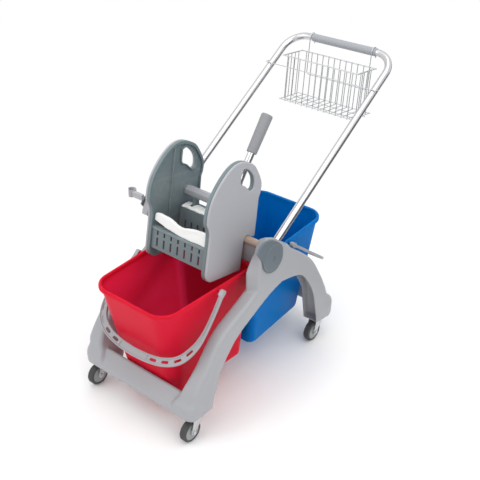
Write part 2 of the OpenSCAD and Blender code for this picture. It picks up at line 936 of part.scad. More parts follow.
pad_half = plate_in - 7;
pad_t = 11;
pad_low = rail_low + rail_t;
module front_press_pad() {
    top = smooth([
        [-pad_half, pad_low + 20], [-pad_half + 6, pad_low + 46], [-pad_half * 0.4, pad_low + 44],
        [0, pad_low + 31], [pad_half * 0.4, pad_low + 40], [pad_half - 6, pad_low + 46], [pad_half, pad_low + 20]
    ], 3);
    color(pad_white)
        at_wringer()
            translate([0, rail_back - 3, 0])
                rotate([90, 0, 0])
                    linear_extrude(pad_t)
                        polygon(concat([[0, pad_low], [-pad_half * 0.55, pad_low + 8]], top, [[pad_half - 4, pad_low]]));
}

// The press shaft with its lever socket
shaft_end = plate_in - bush_lip - seat_gap;
module at_shaft() {
    at_wringer()
        translate([0, -shaft_in, shaft_up])
            children();
}

lever_from = shaft_af / 2 + 6;
socket_len = 46;
module along_lever() {
    translate([lever_x, 0, 0])
        rotate([wringer_tilt - lever_lean, 0, 0])
            children();
}

module press_shaft() {
    color(cover_grey)
        at_shaft()
            difference() {
                union() {
                    translate([-shaft_end, 0, 0])
                        rotate([0, 90, 0])
                            rotate([0, 0, 22.5])
                                cylinder(d = shaft_af / cos(22.5), h = 2 * shaft_end, $fn = 8);
                    translate([-cover_in + seat_gap, 0, 0])
                        rotate([0, 90, 0]) cylinder(d = journal_d, h = 2 * (cover_in - seat_gap));
                    along_lever() cylinder(d = lever_d + 8, h = socket_len);
                }
                along_lever()
                    translate([0, 0, lever_from]) cylinder(d = lever_d, h = socket_len);
            }
}

module shaft_bushes() {
    color(dark_grey)
        at_shaft()
            for (side = [0, 180])
                rotate([0, 0, side])
                    translate([plate_in - bush_lip, 0, 0])
                        rotate([0, 90, 0])
                            rotate_extrude()
                                polygon([
                                    [journal_d / 2 + run_gap, 0], [flange_r, 0], [flange_r, bush_lip],
                                    [bush_r, bush_lip], [bush_r, bush_lip + plate_t],
                                    [journal_d / 2 + run_gap, bush_lip + plate_t]
                                ]);
}

// The moving jaw hangs from the shaft: a shelf under it, and a slotted panel in front
jaw_half = pad_half - 3;
jaw_low = -172;
shelf_front = -48;
shelf_rear = -42;
shelf_t = 8;
jaw_front = -36;
jaw_back = 22;
rib_places = [-0.7, 0, 0.7];
module press_jaw() {
    flat = shaft_af * tan(22.5) / 2;
    color(dark_grey)
        at_shaft() {
            difference() {
                side_profile(-jaw_half, jaw_half)
                    polygon([
                        [jaw_front, shelf_front], [jaw_back, shelf_rear], [jaw_back, shelf_rear - shelf_t],
                        [jaw_front + shelf_t, shelf_front - shelf_t], [jaw_front + shelf_t - 3, jaw_low],
                        [jaw_front - 3, jaw_low]
                    ]);
                translate([0, jaw_front, 0])
                    drain_slots(jaw_half, jaw_low + 16, drain_h + 9, 2);
            }
            for (k = rib_places)
                side_profile(k * jaw_half - 5, k * jaw_half + 5)
                    polygon([[-14, shelf_front + 2], [14, shelf_rear - 1], [flat, -shaft_af / 2], [-flat, -shaft_af / 2]]);
        }
}

rear_pad_t = 9;
module rear_press_pad() {
    slope = atan2(shelf_rear - shelf_front, jaw_back - jaw_front);
    long = norm([shelf_rear - shelf_front, jaw_back - jaw_front]);
    color(pad_white)
        at_shaft()
            translate([0, jaw_front, shelf_front])
                rotate([slope, 0, 0])
                    difference() {
                        side_profile(-jaw_half + 2, jaw_half - 2)
                            polygon([[-2, 0], [-1, rear_pad_t - 3], [4, rear_pad_t], [long - 22, rear_pad_t], [long - 14, 0]]);
                        for (k = rib_places)
                            translate([k * jaw_half - 6, 14, -1]) cube([12, long, rear_pad_t + 2]);
                    }
}

// The lever
lever_grip_len = 130;
module lever_tube() {
    color(chrome)
        at_shaft()
            along_lever()
                translate([0, 0, lever_from])
                    difference() {
                        cylinder(d = lever_d, h = lever_len - lever_from - 8);
                        translate([0, 0, -1]) cylinder(d = lever_d - 2 * tube_wall, h = lever_len);
                    }
}

module lever_grip() {
    color(grip_grey)
        at_shaft()
            along_lever()
                difference() {
                    translate([0, 0, lever_len - lever_grip_len])
                        rotate_extrude()
                            polygon([
                                [0, 0], [lever_d / 2 + 4, 0], [lever_d / 2 + 5, 3],
                                [lever_d / 2 + 7, lever_grip_len - 5], [lever_d / 2 + 5, lever_grip_len], [0, lever_grip_len]
                            ]);
                    translate([0, 0, lever_from]) cylinder(d = lever_d, h = lever_len - lever_from - 8);
                }
}

// Wire basket: five welded panels, a hanger over the grip bar and a wire that rests on the legs.
// Drawn upright about the grip bar's axis and then leant forward.
grip_bar = [leg_start[0] + handle_len * leg_dir[0], leg_start[1] + handle_len * leg_dir[1]];
module at_basket() {
    translate([0, grip_bar[0], grip_bar[1]])
        rotate([-basket_tilt, 0, 0])
            children();
}

hook_r_wire = tube_d / 2 + grip_t + seat_gap + wire_d / 2;
basket_top = -50;
basket_low = basket_top - basket_h;
basket_back_y = -hook_r_wire - wire_d - 0.5 - eps;
basket_front_y = basket_back_y - basket_d;
front_wires = 12;
side_wires = 4;
weld = 0.6;

module wall_of_wires(width, high, count) {
    rod([-width / 2, 0, high], [width / 2, 0, high], wire_d + 1);
    rod([-width / 2, 0, 0], [width / 2, 0, 0], wire_d);
    for (i = [1 : count])
        rod([width * (i / (count + 1) - 0.5), wire_d - weld, -wire_d / 2],
            [width * (i / (count + 1) - 0.5), wire_d - weld, high + wire_d / 2], wire_d);
}

module basket_front() {
    color(chrome)
        at_basket()
            translate([0, basket_front_y, basket_low]) wall_of_wires(basket_w, basket_h, front_wires);
}

module basket_back() {
    color(chrome)
        at_basket()
            translate([0, basket_back_y, basket_low])
                mirror([0, 1, 0]) wall_of_wires(basket_w, basket_h, front_wires);
}

side_len = basket_d - wire_d - 2;
module basket_side() {
    translate([basket_w / 2 - wire_d, (basket_front_y + basket_back_y) / 2, basket_low])
        rotate([0, 0, 90]) wall_of_wires(side_len, basket_h, side_wires);
}

module basket_right() {
    color(chrome) at_basket() basket_side();
}

module basket_left() {
    color(chrome) mirror([1, 0, 0]) at_basket() basket_side();
}

module basket_floor() {
    z = basket_low - wire_d;
    color(chrome)
        at_basket() {
            for (i = [1 : front_wires])
                rod([basket_w * (i / (front_wires + 1) - 0.5), basket_front_y, z],
                    [basket_w * (i / (front_wires + 1) - 0.5), basket_back_y, z], wire_d);
            for (k = [0.3, 0.7])
                rod([-basket_w / 2, basket_front_y + k * basket_d, z - wire_d + weld],
                    [basket_w / 2, basket_front_y + k * basket_d, z - wire_d + weld], wire_d);
        }
}

// A bent stretch of wire beside the trolley's middle plane, by its centre in Y and Z
module wire_bend(x, centre, r, from, sweep) {
    translate([x, centre[0], centre[1]])
        rotate([90, 0, 90])
            rotate([0, 0, from])
                rotate_extrude(angle = sweep) translate([r, 0]) circle(d = wire_d);
}

// The hanger: two hooks over the grip bar that run down behind the basket's back to a bar along the bottom
hanger_drop = 81;
hook_tail = 24;
bar_turn = 8;
module basket_hanger() {
    low = basket_top - hanger_drop;
    color(chrome)
        at_basket() {
            for (side = [-1, 1]) {
                x = side * hook_x;
                rod([x, hook_r_wire, -hook_tail], [x, hook_r_wire, 0], wire_d);
                wire_bend(x, [0, 0], hook_r_wire, 0, 180);
                rod([x, -hook_r_wire, low + bar_turn], [x, -hook_r_wire, 0], wire_d);
                translate([x - side * bar_turn, -hook_r_wire, low + bar_turn])
                    rotate([90, 0, 0])
                        rotate([0, 0, side > 0 ? -90 : 180])
                            rotate_extrude(angle = 90) translate([bar_turn, 0]) circle(d = wire_d);
            }
            rod([-hook_x + bar_turn, -hook_r_wire, low], [hook_x - bar_turn, -hook_r_wire, low], wire_d);
        }
}

// The rest wire lies across the legs in front of the basket, with its ends turned back
rest_off = tube_d / 2 + wire_d / 2 + seat_gap;
rest_turn = 8;
rest_tail = 12;
module basket_rest_wire() {
    slope = handle_slope + basket_tilt;
    y = basket_front_y - weld - eps;
    // Height of the leg's upper side at that place
    z = (y + rest_off * sin(slope)) * tan(slope) + rest_off * cos(slope);
    end_x = handle_w / 2 + tube_d / 2 + wire_d;
    color(chrome)
        at_basket()
            translate([0, y, z]) {
                rod([-end_x + rest_turn, 0, 0], [end_x - rest_turn, 0, 0], wire_d);
                for (side = [-1, 1]) {
                    translate([side * (end_x - rest_turn), rest_turn, 0])
                        rotate([0, 0, side > 0 ? -90 : 180])
                            rotate_extrude(angle = 90) translate([rest_turn, 0]) circle(d = wire_d);
                    translate([side * end_x, rest_turn, 0])
                        rotate([-90, 0, 0]) cylinder(d = wire_d, h = rest_tail);
                }
            }
}

side_frame_right();
side_frame_left();
front_cross_member();
rear_cross_member();
centre_beam();
cross_bar();
handle_tube();
handle_grip();
hub_cover_right();
hub_cover_left();
mop_clip();
caster_stems();
at_caster(1, front_y) fork();  // fork_front_right
at_caster(-1, front_y) fork();  // fork_front_left
at_caster(1, rear_y) fork();  // fork_rear_right
at_caster(-1, rear_y) fork();  // fork_rear_left
at_caster(1, front_y) axle();  // axle_front_right
at_caster(-1, front_y) axle();  // axle_front_left
at_caster(1, rear_y) axle();  // axle_rear_right
at_caster(-1, rear_y) axle();  // axle_rear_left
at_caster(1, front_y) wheel_hub();  // wheel_hub_front_right
at_caster(-1, front_y) wheel_hub();  // wheel_hub_front_left
at_caster(1, rear_y) wheel_hub();  // wheel_hub_rear_right
at_caster(-1, rear_y) wheel_hub();  // wheel_hub_rear_left
at_caster(1, front_y) tyre();  // tyre_front_right
at_caster(-1, front_y) tyre();  // tyre_front_left
at_caster(1, rear_y) tyre();  // tyre_rear_right
at_caster(-1, rear_y) tyre();  // tyre_rear_left
red_bucket();
red_bail();
blue_bucket();
blue_bail();
wringer_plate_right();
wringer_plate_left();
wringer_cover_right();
wringer_cover_left();
wringer_front_wall();
front_press_pad();
press_shaft();
shaft_bushes();
press_jaw();
rear_press_pad();
lever_tube();
lever_grip();
basket_front();
basket_back();
basket_right();
basket_left();
basket_floor();
basket_hanger();
basket_rest_wire();
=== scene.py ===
"""Dresses the solids of a double mop bucket trolley with moulded shells, chrome, wire and rubber.

Lengths are metres in the solids' own frame: +X is the trolley's right seen from the front, +Y runs
from the red bucket to the push handle, +Z is up, and the origin is on the floor.
"""

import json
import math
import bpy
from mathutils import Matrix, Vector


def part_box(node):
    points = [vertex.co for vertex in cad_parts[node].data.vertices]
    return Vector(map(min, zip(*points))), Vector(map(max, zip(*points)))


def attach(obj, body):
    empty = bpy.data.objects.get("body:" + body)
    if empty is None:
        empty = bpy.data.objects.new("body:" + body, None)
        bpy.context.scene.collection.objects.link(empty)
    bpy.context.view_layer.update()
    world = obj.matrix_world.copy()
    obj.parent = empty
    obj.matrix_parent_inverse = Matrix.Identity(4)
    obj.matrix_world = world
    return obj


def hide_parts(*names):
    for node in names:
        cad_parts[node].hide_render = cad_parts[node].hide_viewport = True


bl_info = {
    "name": "Double mop bucket trolley",
    "version": (1, 0, 0),
    "blender": (4, 5, 0),
    "location": "View3D > Sidebar > Trolley",
    "description": "Builds the moulded shells, finishes and studio of a double mop bucket trolley",
    "category": "Object",
}

import bmesh
import bpy
from bpy.props import FloatProperty, FloatVectorProperty, PointerProperty
from bpy.types import Operator, Panel, PropertyGroup
from mathutils import Matrix, Vector, noise

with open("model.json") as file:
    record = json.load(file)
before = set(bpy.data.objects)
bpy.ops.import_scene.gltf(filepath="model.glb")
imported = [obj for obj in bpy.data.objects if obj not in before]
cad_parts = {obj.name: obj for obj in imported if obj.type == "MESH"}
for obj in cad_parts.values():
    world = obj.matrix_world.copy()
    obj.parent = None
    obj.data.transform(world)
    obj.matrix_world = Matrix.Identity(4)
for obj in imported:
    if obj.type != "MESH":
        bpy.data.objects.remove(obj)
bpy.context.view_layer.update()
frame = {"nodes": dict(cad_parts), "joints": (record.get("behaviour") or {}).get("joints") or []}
nodes = frame["nodes"]
joints = {j["name"]: j for j in frame["joints"]}
CORNERS = ("front_right", "front_left", "rear_right", "rear_left")
BASKET = ("basket_front", "basket_back", "basket_right", "basket_left", "basket_floor", "basket_hanger",
          "basket_rest_wire")
SIDES = ((1, "right"), (-1, "left"))


def pivot_of(joint):
    """Place of a joint."""
    return Vector(joints[joint]["pos_m"])


# Places read from the solids
BAR = (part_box("cross_bar")[0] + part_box("cross_bar")[1]) / 2
FRONT_SWIVEL = pivot_of("swivel_front_right")
REAR_SWIVEL = pivot_of("swivel_rear_right")
FOOT_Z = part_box("side_frame_right")[0].z
BUCKET_LOW_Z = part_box("red_bucket")[0].z
RIM_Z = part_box("red_bucket")[1].z
COVER_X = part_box("wringer_cover_right")
PLATE_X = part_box("wringer_plate_right")
HUB_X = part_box("hub_cover_right")


def length_property(name, default, description):
    """A length that a user may change."""
    return FloatProperty(
        name=name, description=description, default=default, min=0.0, unit="LENGTH", precision=4
    )


def colour_property(name, default, description):
    """A colour as it is seen on a screen."""
    return FloatVectorProperty(
        name=name, description=description, default=default, size=3, min=0.0, max=1.0, subtype="COLOR_GAMMA"
    )


class TrolleySizes(PropertyGroup):
    """Sizes of the moulded shells."""

    arch_width: length_property("Arch width", 0.05, "Width of the side arches")
    arch_shift: length_property("Arch shift", 0.005, "How far the arches stand outside the swivel axes")
    arch_fillet: length_property("Arch fillet", 0.012, "Fillet along the top edges of the arches")
    foot_reach: length_property("Foot reach", 0.055, "Reach of each foot inward from its swivel axis")
    foot_flare: length_property("Foot flare", 0.007, "How far each foot spreads outside the arch")
    frame_wall: length_property("Frame wall", 0.004, "Wall thickness of the frame moulding")
    boss_edge: length_property("Boss edge", 0.006, "Rounding of the bosses' edges")
    apron_height: length_property("Apron height", 0.062, "Height of the cross members above the feet")
    moulding_voxel: length_property("Moulding step", 0.003, "Mesh step of the frame moulding")
    bucket_wall: length_property("Bucket wall", 0.003, "Wall thickness of the buckets")
    rim_over: length_property("Rim overhang", 0.008, "Overhang of the bucket rims outside the wall")
    rim_height: length_property("Rim height", 0.014, "Height of the bucket rims")
    strap_width: length_property("Strap width", 0.027, "Width of the bails in the grip")
    strap_thickness: length_property("Strap thickness", 0.01, "Thickness of the bails at their edges")
    strap_edge: length_property("Strap edge", 0.0042, "Width of the raised edges of the bails")
    cover_edge: length_property("Cover edge", 0.004, "Rounding of the wringer covers")
    tube_diameter: length_property("Tube diameter", 0.025, "Diameter of the push handle's tube")


class TrolleyColours(PropertyGroup):
    """Colours of the trolley's finishes."""

    frame_grey: colour_property("Frame", (0.62, 0.625, 0.64), "Grey of the frame moulding and the bails")
    cover_grey: colour_property("Covers", (0.645, 0.65, 0.67), "Light grey of the wringer covers")
    wringer_grey: colour_property("Wringer", (0.425, 0.485, 0.50), "Green-grey of the wringer's inner parts")
    hub_grey: colour_property("Hub covers", (0.37, 0.415, 0.445), "Grey of the handle's hub covers")
    grip_grey: colour_property("Grips", (0.60, 0.61, 0.63), "Grey of the grips")
    # Painted shade: the grips' grey darkened, because the lever grip sits in less light
    lever_shaded_grey: colour_property("Lever grip", (0.53, 0.535, 0.55), "Grey of the lever's grip")
    bucket_red: colour_property("Red bucket", (0.77, 0.07, 0.17), "Red of the front bucket")
    bucket_blue: colour_property("Blue bucket", (0.0, 0.41, 0.69), "Blue of the rear bucket")
    pad_white: colour_property("Pads", (0.93, 0.94, 0.935), "White of the press pads")
    chrome: colour_property("Chrome", (0.80, 0.80, 0.81), "Tint of the bright plating")
    wire: colour_property("Wires", (0.78, 0.79, 0.80), "Tint of the basket wires")
    zinc: colour_property("Zinc", (0.80, 0.81, 0.82), "Tint of the zinc plating")
    bar_steel: colour_property("Cross bar", (0.80, 0.70, 0.63), "Tint of the cross bar")
    tyre: colour_property("Tyres", (0.23, 0.235, 0.235), "Grey of the tyres")
    wheel_grey: colour_property("Wheels", (0.60, 0.61, 0.61), "Grey of the wheel hubs")
    floor: colour_property("Floor", (0.97, 0.97, 0.97), "Colour of the studio floor")


class TrolleySettings(PropertyGroup):
    """All settings of the trolley."""

    sizes: PointerProperty(type=TrolleySizes)
    colours: PointerProperty(type=TrolleyColours)


def sizes():
    """The sizes in use."""
    return bpy.context.scene.trolley.sizes


def linear(name):
    """A named colour as linear light with full alpha, by the sRGB curve."""
    def decode(v):
        return v / 12.92 if v <= 0.04045 else ((v + 0.055) / 1.055) ** 2.4
    return [decode(v) for v in getattr(bpy.context.scene.trolley.colours, name)] + [1.0]


# Shader node groups and materials

PATCH_SCALE = 14.0
SCUFF_SCALE = 60.0
CLOUD_SCALE = 7.0
EDGE_SPAN = (0.52, 0.62)
GRAIN_DEPTH = 0.0005
WORN_GREY = 0.8
WORN_SHARE = 0.6
METAL = {"Metallic": 1.0}
RED_SOCKETS = {"Specular IOR Level": 0.07, "Subsurface Weight": 0.9, "Subsurface Scale": 0.02,
               "Subsurface Radius": (1.0, 0.8, 0.8)}
BLUE_SOCKETS = {**RED_SOCKETS, "Subsurface Radius": (1.0, 0.4, 0.4)}

# Colour, wear, unevenness of tone, lowest and highest roughness, scale and strength of the grain, and
# values that are set on the shader itself
FINISHES = {
    "frame_plastic": ("frame_grey", 0.25, 0.03, (0.38, 0.5), (900.0, 0.08), {}),
    "cover_plastic": ("cover_grey", 0.3, 0.03, (0.35, 0.46), (900.0, 0.08), {}),
    "wringer_plastic": ("wringer_grey", 0.4, 0.06, (0.4, 0.55), (800.0, 0.14), {}),
    "hub_plastic": ("hub_grey", 0.4, 0.05, (0.4, 0.55), (800.0, 0.14), {}),
    "grip_plastic": ("grip_grey", 0.15, 0.04, (0.5, 0.62), (1100.0, 0.2), {}),
    # Painted shade: the grip finish with a darker grey for the less lit lever grip
    "lever_plastic": ("lever_shaded_grey", 0.15, 0.04, (0.5, 0.62), (1100.0, 0.2), {}),
    "red_plastic": ("bucket_red", 0.05, 0.04, (0.34, 0.46), (600.0, 0.05), RED_SOCKETS),
    "blue_plastic": ("bucket_blue", 0.05, 0.04, (0.34, 0.46), (600.0, 0.05), BLUE_SOCKETS),
    "pad_plastic": ("pad_white", 0.1, 0.03, (0.55, 0.7), (500.0, 0.25), {}),
    "chromed_steel": ("chrome", 0.1, 0.02, (0.16, 0.24), (1500.0, 0.02), METAL),
    "wire_steel": ("wire", 0.1, 0.04, (0.2, 0.3), (1500.0, 0.02), METAL),
    "zinc_steel": ("zinc", 0.2, 0.08, (0.28, 0.42), (900.0, 0.08), METAL),
    "bar_steel": ("bar_steel", 0.2, 0.08, (0.3, 0.4), (900.0, 0.1), {"Metallic": 0.6}),
    "tyre_rubber": ("tyre", 0.35, 0.12, (0.6, 0.8), (700.0, 0.25), {}),
    "wheel_plastic": ("wheel_grey", 0.3, 0.06, (0.42, 0.55), (800.0, 0.1), {}),
}


def new_group(name, inputs, outputs):
    """An empty shader group with named sockets, and its input and output nodes."""
    group = bpy.data.node_groups.new(name, "ShaderNodeTree")
    for label, default in inputs.items():
        kind = "NodeSocketFloat" if isinstance(default, float) else "NodeSocketColor"
        socket = group.interface.new_socket(label, in_out="INPUT", socket_type=kind)
        socket.default_value = default
    for label, kind in outputs.items():
        group.interface.new_socket(label, in_out="OUTPUT", socket_type=kind)
    return group, group.nodes.new("NodeGroupInput"), group.nodes.new("NodeGroupOutput")


def feed(tree, socket, value):
    """Sets a socket to a number, or links another socket to it."""
    if isinstance(value, (int, float)):
        socket.default_value = value
    else:
        tree.links.new(value, socket)


def math_node(tree, operation, first, second):
    """The result of an operation on two values or sockets."""
    made = tree.nodes.new("ShaderNodeMath")
    made.operation = operation
    feed(tree, made.inputs[0], first)
    feed(tree, made.inputs[1], second)
    return made.outputs[0]


def noise_node(tree, vector, scale, detail):
    """A noise from 0 to 1 on the given vector socket."""
    made = tree.nodes.new("ShaderNodeTexNoise")
    made.inputs["Detail"].default_value = detail
    tree.links.new(vector, made.inputs["Vector"])
    feed(tree, made.inputs["Scale"], scale)
    return made.outputs["Fac"]


def spread(tree, value, low, high, span=(0.0, 1.0)):
    """A value within a span, spread between two values or sockets."""
    made = tree.nodes.new("ShaderNodeMapRange")
    tree.links.new(value, made.inputs["Value"])
    ends = {"From Min": span[0], "From Max": span[1], "To Min": low, "To Max": high}
    for label, end in ends.items():
        feed(tree, made.inputs[label], end)
    return made.outputs["Result"]


def skin_group():
    """Grain and uneven gloss of a moulded or plated surface."""
    name = "Moulded skin"
    if name in bpy.data.node_groups:
        return bpy.data.node_groups[name]
    group, given, result = new_group(
        name,
        {"Grain scale": 700.0, "Roughness low": 0.4, "Roughness high": 0.5},
        {"Height": "NodeSocketFloat", "Roughness": "NodeSocketFloat"},
    )
    place = group.nodes.new("ShaderNodeTexCoord").outputs["Object"]
    grain = noise_node(group, place, given.outputs["Grain scale"], detail=3.0)
    patches = noise_node(group, place, PATCH_SCALE, detail=4.0)
    rough = spread(group, patches, given.outputs["Roughness low"], given.outputs["Roughness high"])
    group.links.new(grain, result.inputs["Height"])
    group.links.new(rough, result.inputs["Roughness"])
    return group


def age_group():
    """Pale worn edges and soft patches of tone."""
    name = "Surface age"
    if name in bpy.data.node_groups:
        return bpy.data.node_groups[name]
    group, given, result = new_group(
        name,
        {"Colour": (0.5, 0.5, 0.5, 1.0), "Worn colour": (0.8, 0.8, 0.8, 1.0), "Wear": 0.3, "Tone": 0.06},
        {"Colour": "NodeSocketColor"},
    )
    place = group.nodes.new("ShaderNodeTexCoord").outputs["Object"]
    geometry = group.nodes.new("ShaderNodeNewGeometry")
    edge = spread(group, geometry.outputs["Pointiness"], 0.0, 1.0, EDGE_SPAN)
    scuffs = noise_node(group, place, SCUFF_SCALE, detail=4.0)
    rubbed = math_node(group, "MULTIPLY", edge, scuffs)
    amount = math_node(group, "MULTIPLY", rubbed, given.outputs["Wear"])
    lowest = math_node(group, "SUBTRACT", 1.0, given.outputs["Tone"])
    highest = math_node(group, "ADD", 1.0, given.outputs["Tone"])
    tone = spread(group, noise_node(group, place, CLOUD_SCALE, detail=3.0), lowest, highest)
    toned = group.nodes.new("ShaderNodeVectorMath")
    toned.operation = "SCALE"
    group.links.new(given.outputs["Colour"], toned.inputs[0])
    group.links.new(tone, toned.inputs["Scale"])
    mixed = group.nodes.new("ShaderNodeMix")
    mixed.data_type = "RGBA"
    group.links.new(amount, mixed.inputs["Factor"])
    group.links.new(toned.outputs[0], mixed.inputs["A"])
    group.links.new(given.outputs["Worn colour"], mixed.inputs["B"])
    group.links.new(mixed.outputs["Result"], result.inputs["Colour"])
    return group


def place_group(tree, group, values):
    """Puts a shader group into a material with its own values."""
    made = tree.nodes.new("ShaderNodeGroup")
    made.node_tree = group
    for label, value in values.items():
        made.inputs[label].default_value = value
    return made


def finish(name):
    """The material of a finish, with grain, uneven gloss and worn edges."""
    own_name = "trolley_" + name
    if own_name in bpy.data.materials:
        return bpy.data.materials[own_name]
    colour, worn, tone, rough, grain, sockets = FINISHES[name]
    shade = linear(colour)
    pale = [v + (WORN_GREY - v) * WORN_SHARE for v in shade[:3]] + [1.0]
    material = bpy.data.materials.new(own_name)
    material.use_nodes = True
    tree = material.node_tree
    shader = tree.nodes["Principled BSDF"]
    age = place_group(
        tree, age_group(), {"Colour": shade, "Worn colour": pale, "Wear": worn, "Tone": tone}
    )
    skin = place_group(
        tree, skin_group(), {"Grain scale": grain[0], "Roughness low": rough[0], "Roughness high": rough[1]}
    )
    bump = tree.nodes.new("ShaderNodeBump")
    bump.inputs["Strength"].default_value = grain[1]
    bump.inputs["Distance"].default_value = GRAIN_DEPTH
    tree.links.new(age.outputs["Colour"], shader.inputs["Base Color"])
    tree.links.new(skin.outputs["Roughness"], shader.inputs["Roughness"])
    tree.links.new(skin.outputs["Height"], bump.inputs["Height"])
    tree.links.new(bump.outputs["Normal"], shader.inputs["Normal"])
    for key, value in sockets.items():
        shader.inputs[key].default_value = value
    return material


# Curves and meshes

WELD_GAP = 2e-5
BEVEL_GAP = 1e-5
OVERLAP = 0.001
FLAT_ANGLE = math.radians(2.0)
SHARP_ANGLE = math.radians(35.0)


def smooth(points, steps):
    """A smooth curve through points of any size, with the given steps between two of them."""
    points = [Vector(p) for p in points]
    last = len(points) - 1

    def tangent(i):
        if i == 0:
            return points[1] - points[0]
        if i == last:
            return points[last] - points[last - 1]
        return (points[i + 1] - points[i - 1]) / 2

    made = []
    for i in range(last):
        for s in range(steps):
            t = s / steps
            made.append((2 * t**3 - 3 * t**2 + 1) * points[i] + (t**3 - 2 * t**2 + t) * tangent(i)
                        + (3 * t**2 - 2 * t**3) * points[i + 1] + (t**3 - t**2) * tangent(i + 1))
    return made + [points[last]]


def arc(centre, radius, start, end, steps):
    """Points of an arc, by angles in degrees."""
    made = []
    for i in range(steps + 1):
        a = math.radians(start + (end - start) * i / steps)
        made.append(Vector((centre[0] + radius * math.cos(a), centre[1] + radius * math.sin(a))))
    return made


def loft(bm, rings):
    """A closed skin over rings with the same number of points."""
    rows = [[bm.verts.new(p) for p in ring] for ring in rings]
    count = len(rows[0])
    for low, high in zip(rows, rows[1:]):
        for i in range(count):
            j = (i + 1) % count
            bm.faces.new((low[i], low[j], high[j], high[i]))
    bm.faces.new(reversed(rows[0]))
    bm.faces.new(rows[-1])


def lathe(bm, profile, place, steps):
    """A closed turned shape: profile holds radius and height pairs along the place's Z."""
    rings = []
    for radius, height in profile:
        turn = [2 * math.pi * i / steps for i in range(steps)]
        rings.append([place @ Vector((radius * math.cos(a), radius * math.sin(a), height)) for a in turn])
    loft(bm, rings)


def along_x(side, x, y, z):
    """Turns a drawing's XY into YZ at a place, with its Z along X towards a side."""
    return Matrix(((0, 0, side, x), (1, 0, 0, y), (0, 1, 0, z), (0, 0, 0, 1)))


def add_mesh(bm, mesh, *matrices):
    """Puts a mesh's faces into a bmesh, once for each matrix, and removes the mesh."""
    for matrix in matrices or (Matrix(),):
        copy = mesh.copy()
        copy.transform(matrix)
        bm.from_mesh(copy)
        bpy.data.meshes.remove(copy)
    bpy.data.meshes.remove(mesh)


def mesh_of(bm, name="shell"):
    """A mesh from a bmesh with its normals set."""
    bmesh.ops.recalc_face_normals(bm, faces=bm.faces)
    mesh = bpy.data.meshes.new(name)
    bm.to_mesh(mesh)
    bm.free()
    return mesh


def new_object(name, data):
    """An object of the given data, linked into the scene."""
    made = bpy.data.objects.new(name, data)
    bpy.context.scene.collection.objects.link(made)
    return made


def coat(mesh, made_of):
    """Gives a mesh one finish and no other."""
    mesh.materials.clear()
    mesh.materials.append(finish(made_of))


def piece_from(bm, name, made_of, body, replaced, sharp=40.0, weighted=True):
    """Makes a shaded object from a bmesh, which rides on a body and stands for the given solids."""
    dress(mesh_of(bm, name), name, made_of, body, replaced, sharp, weighted)


def dress(mesh, name, made_of, body, replaced, sharp=40.0, weighted=True):
    """Makes a shaded object from a mesh, which rides on a body and stands for the given solids."""
    made = new_object(name, mesh)
    coat(mesh, made_of)
    mesh.shade_smooth()
    mesh.set_sharp_from_angle(angle=math.radians(sharp))
    if weighted:
        even = made.modifiers.new("Even shading", "WEIGHTED_NORMAL")
        even.keep_sharp = True
    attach(made, body)
    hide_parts(*replaced)


def evaluated_mesh(made):
    """The mesh of an object with its modifiers, after which the object is removed."""
    bpy.context.view_layer.update()
    graph = bpy.context.evaluated_depsgraph_get()
    mesh = bpy.data.meshes.new_from_object(made.evaluated_get(graph))
    data = made.data
    bpy.data.objects.remove(made)
    if isinstance(data, bpy.types.Mesh):
        bpy.data.meshes.remove(data)
    else:
        bpy.data.curves.remove(data)
    return mesh


def scratch(data):
    """A linked object that is only used on the way to another mesh."""
    return new_object("scratch", data)


def join(made, voxel, steps):
    """Joins all shells of an object into one skin and softens it."""
    skin = made.modifiers.new("Join", "REMESH")
    skin.mode = "VOXEL"
    skin.voxel_size = voxel
    soft = made.modifiers.new("Soften", "SMOOTH")
    soft.iterations = steps


def turning(outline):
    """Twice the signed area of an outline."""
    pairs = zip(outline, list(outline[1:]) + [outline[0]])
    return sum(a[0] * b[1] - b[0] * a[1] for a, b in pairs)


def plate_mesh(outlines, x0, x1, edge):
    """A plate with rounded edges, from a YZ outline and its holes, between two places along X."""
    curve = bpy.data.curves.new("plate", "CURVE")
    curve.dimensions = "2D"
    curve.fill_mode = "BOTH"
    curve.extrude = (x1 - x0) / 2 - edge
    curve.bevel_depth = edge
    curve.bevel_resolution = 3
    curve.offset = -edge
    for k, outline in enumerate(outlines):
        points = list(outline)
        if (turning(points) > 0) != (k > 0):
            points.reverse()
        spline = curve.splines.new("POLY")
        spline.points.add(len(points) - 1)
        for target, p in zip(spline.points, points):
            target.co = (p[0], p[1], 0.0, 1.0)
        spline.use_cyclic_u = True
    mesh = evaluated_mesh(scratch(curve))
    mesh.transform(along_x(1, (x0 + x1) / 2, 0, 0))
    return mesh


def rounded_piece(node, made_of, body, edge):
    """Stands a copy with whole flat faces and rounded edges in a solid's place."""
    bm = bmesh.new()
    bm.from_mesh(nodes[node].data)
    bmesh.ops.remove_doubles(bm, verts=bm.verts, dist=WELD_GAP)
    bmesh.ops.dissolve_limit(bm, angle_limit=FLAT_ANGLE, verts=bm.verts, edges=bm.edges)
    sharp = [e for e in bm.edges if len(e.link_faces) == 2 and e.calc_face_angle(0.0) > SHARP_ANGLE]
    bmesh.ops.bevel(
        bm, geom=sharp, offset=edge, segments=2, profile=0.5, affect="EDGES", clamp_overlap=False
    )
    bmesh.ops.remove_doubles(bm, verts=bm.verts, dist=BEVEL_GAP)
    piece_from(bm, node + "_moulded", made_of, body, [node])


def tube_mesh(points, radius):
    """A smooth round tube along points."""
    curve = bpy.data.curves.new("tube", "CURVE")
    curve.dimensions = "3D"
    curve.bevel_depth = radius
    curve.bevel_resolution = 10
    curve.use_fill_caps = True
    spline = curve.splines.new("POLY")
    spline.points.add(len(points) - 1)
    for target, p in zip(spline.points, points):
        target.co = (*p, 1.0)
    return evaluated_mesh(scratch(curve))


# Frame moulding: both arches, the bosses and the cross members are one smooth form

# Spreads and corner fillet of a station that is away from the feet
PLAIN = (0.0, 0.0, 0.0, 0.012)
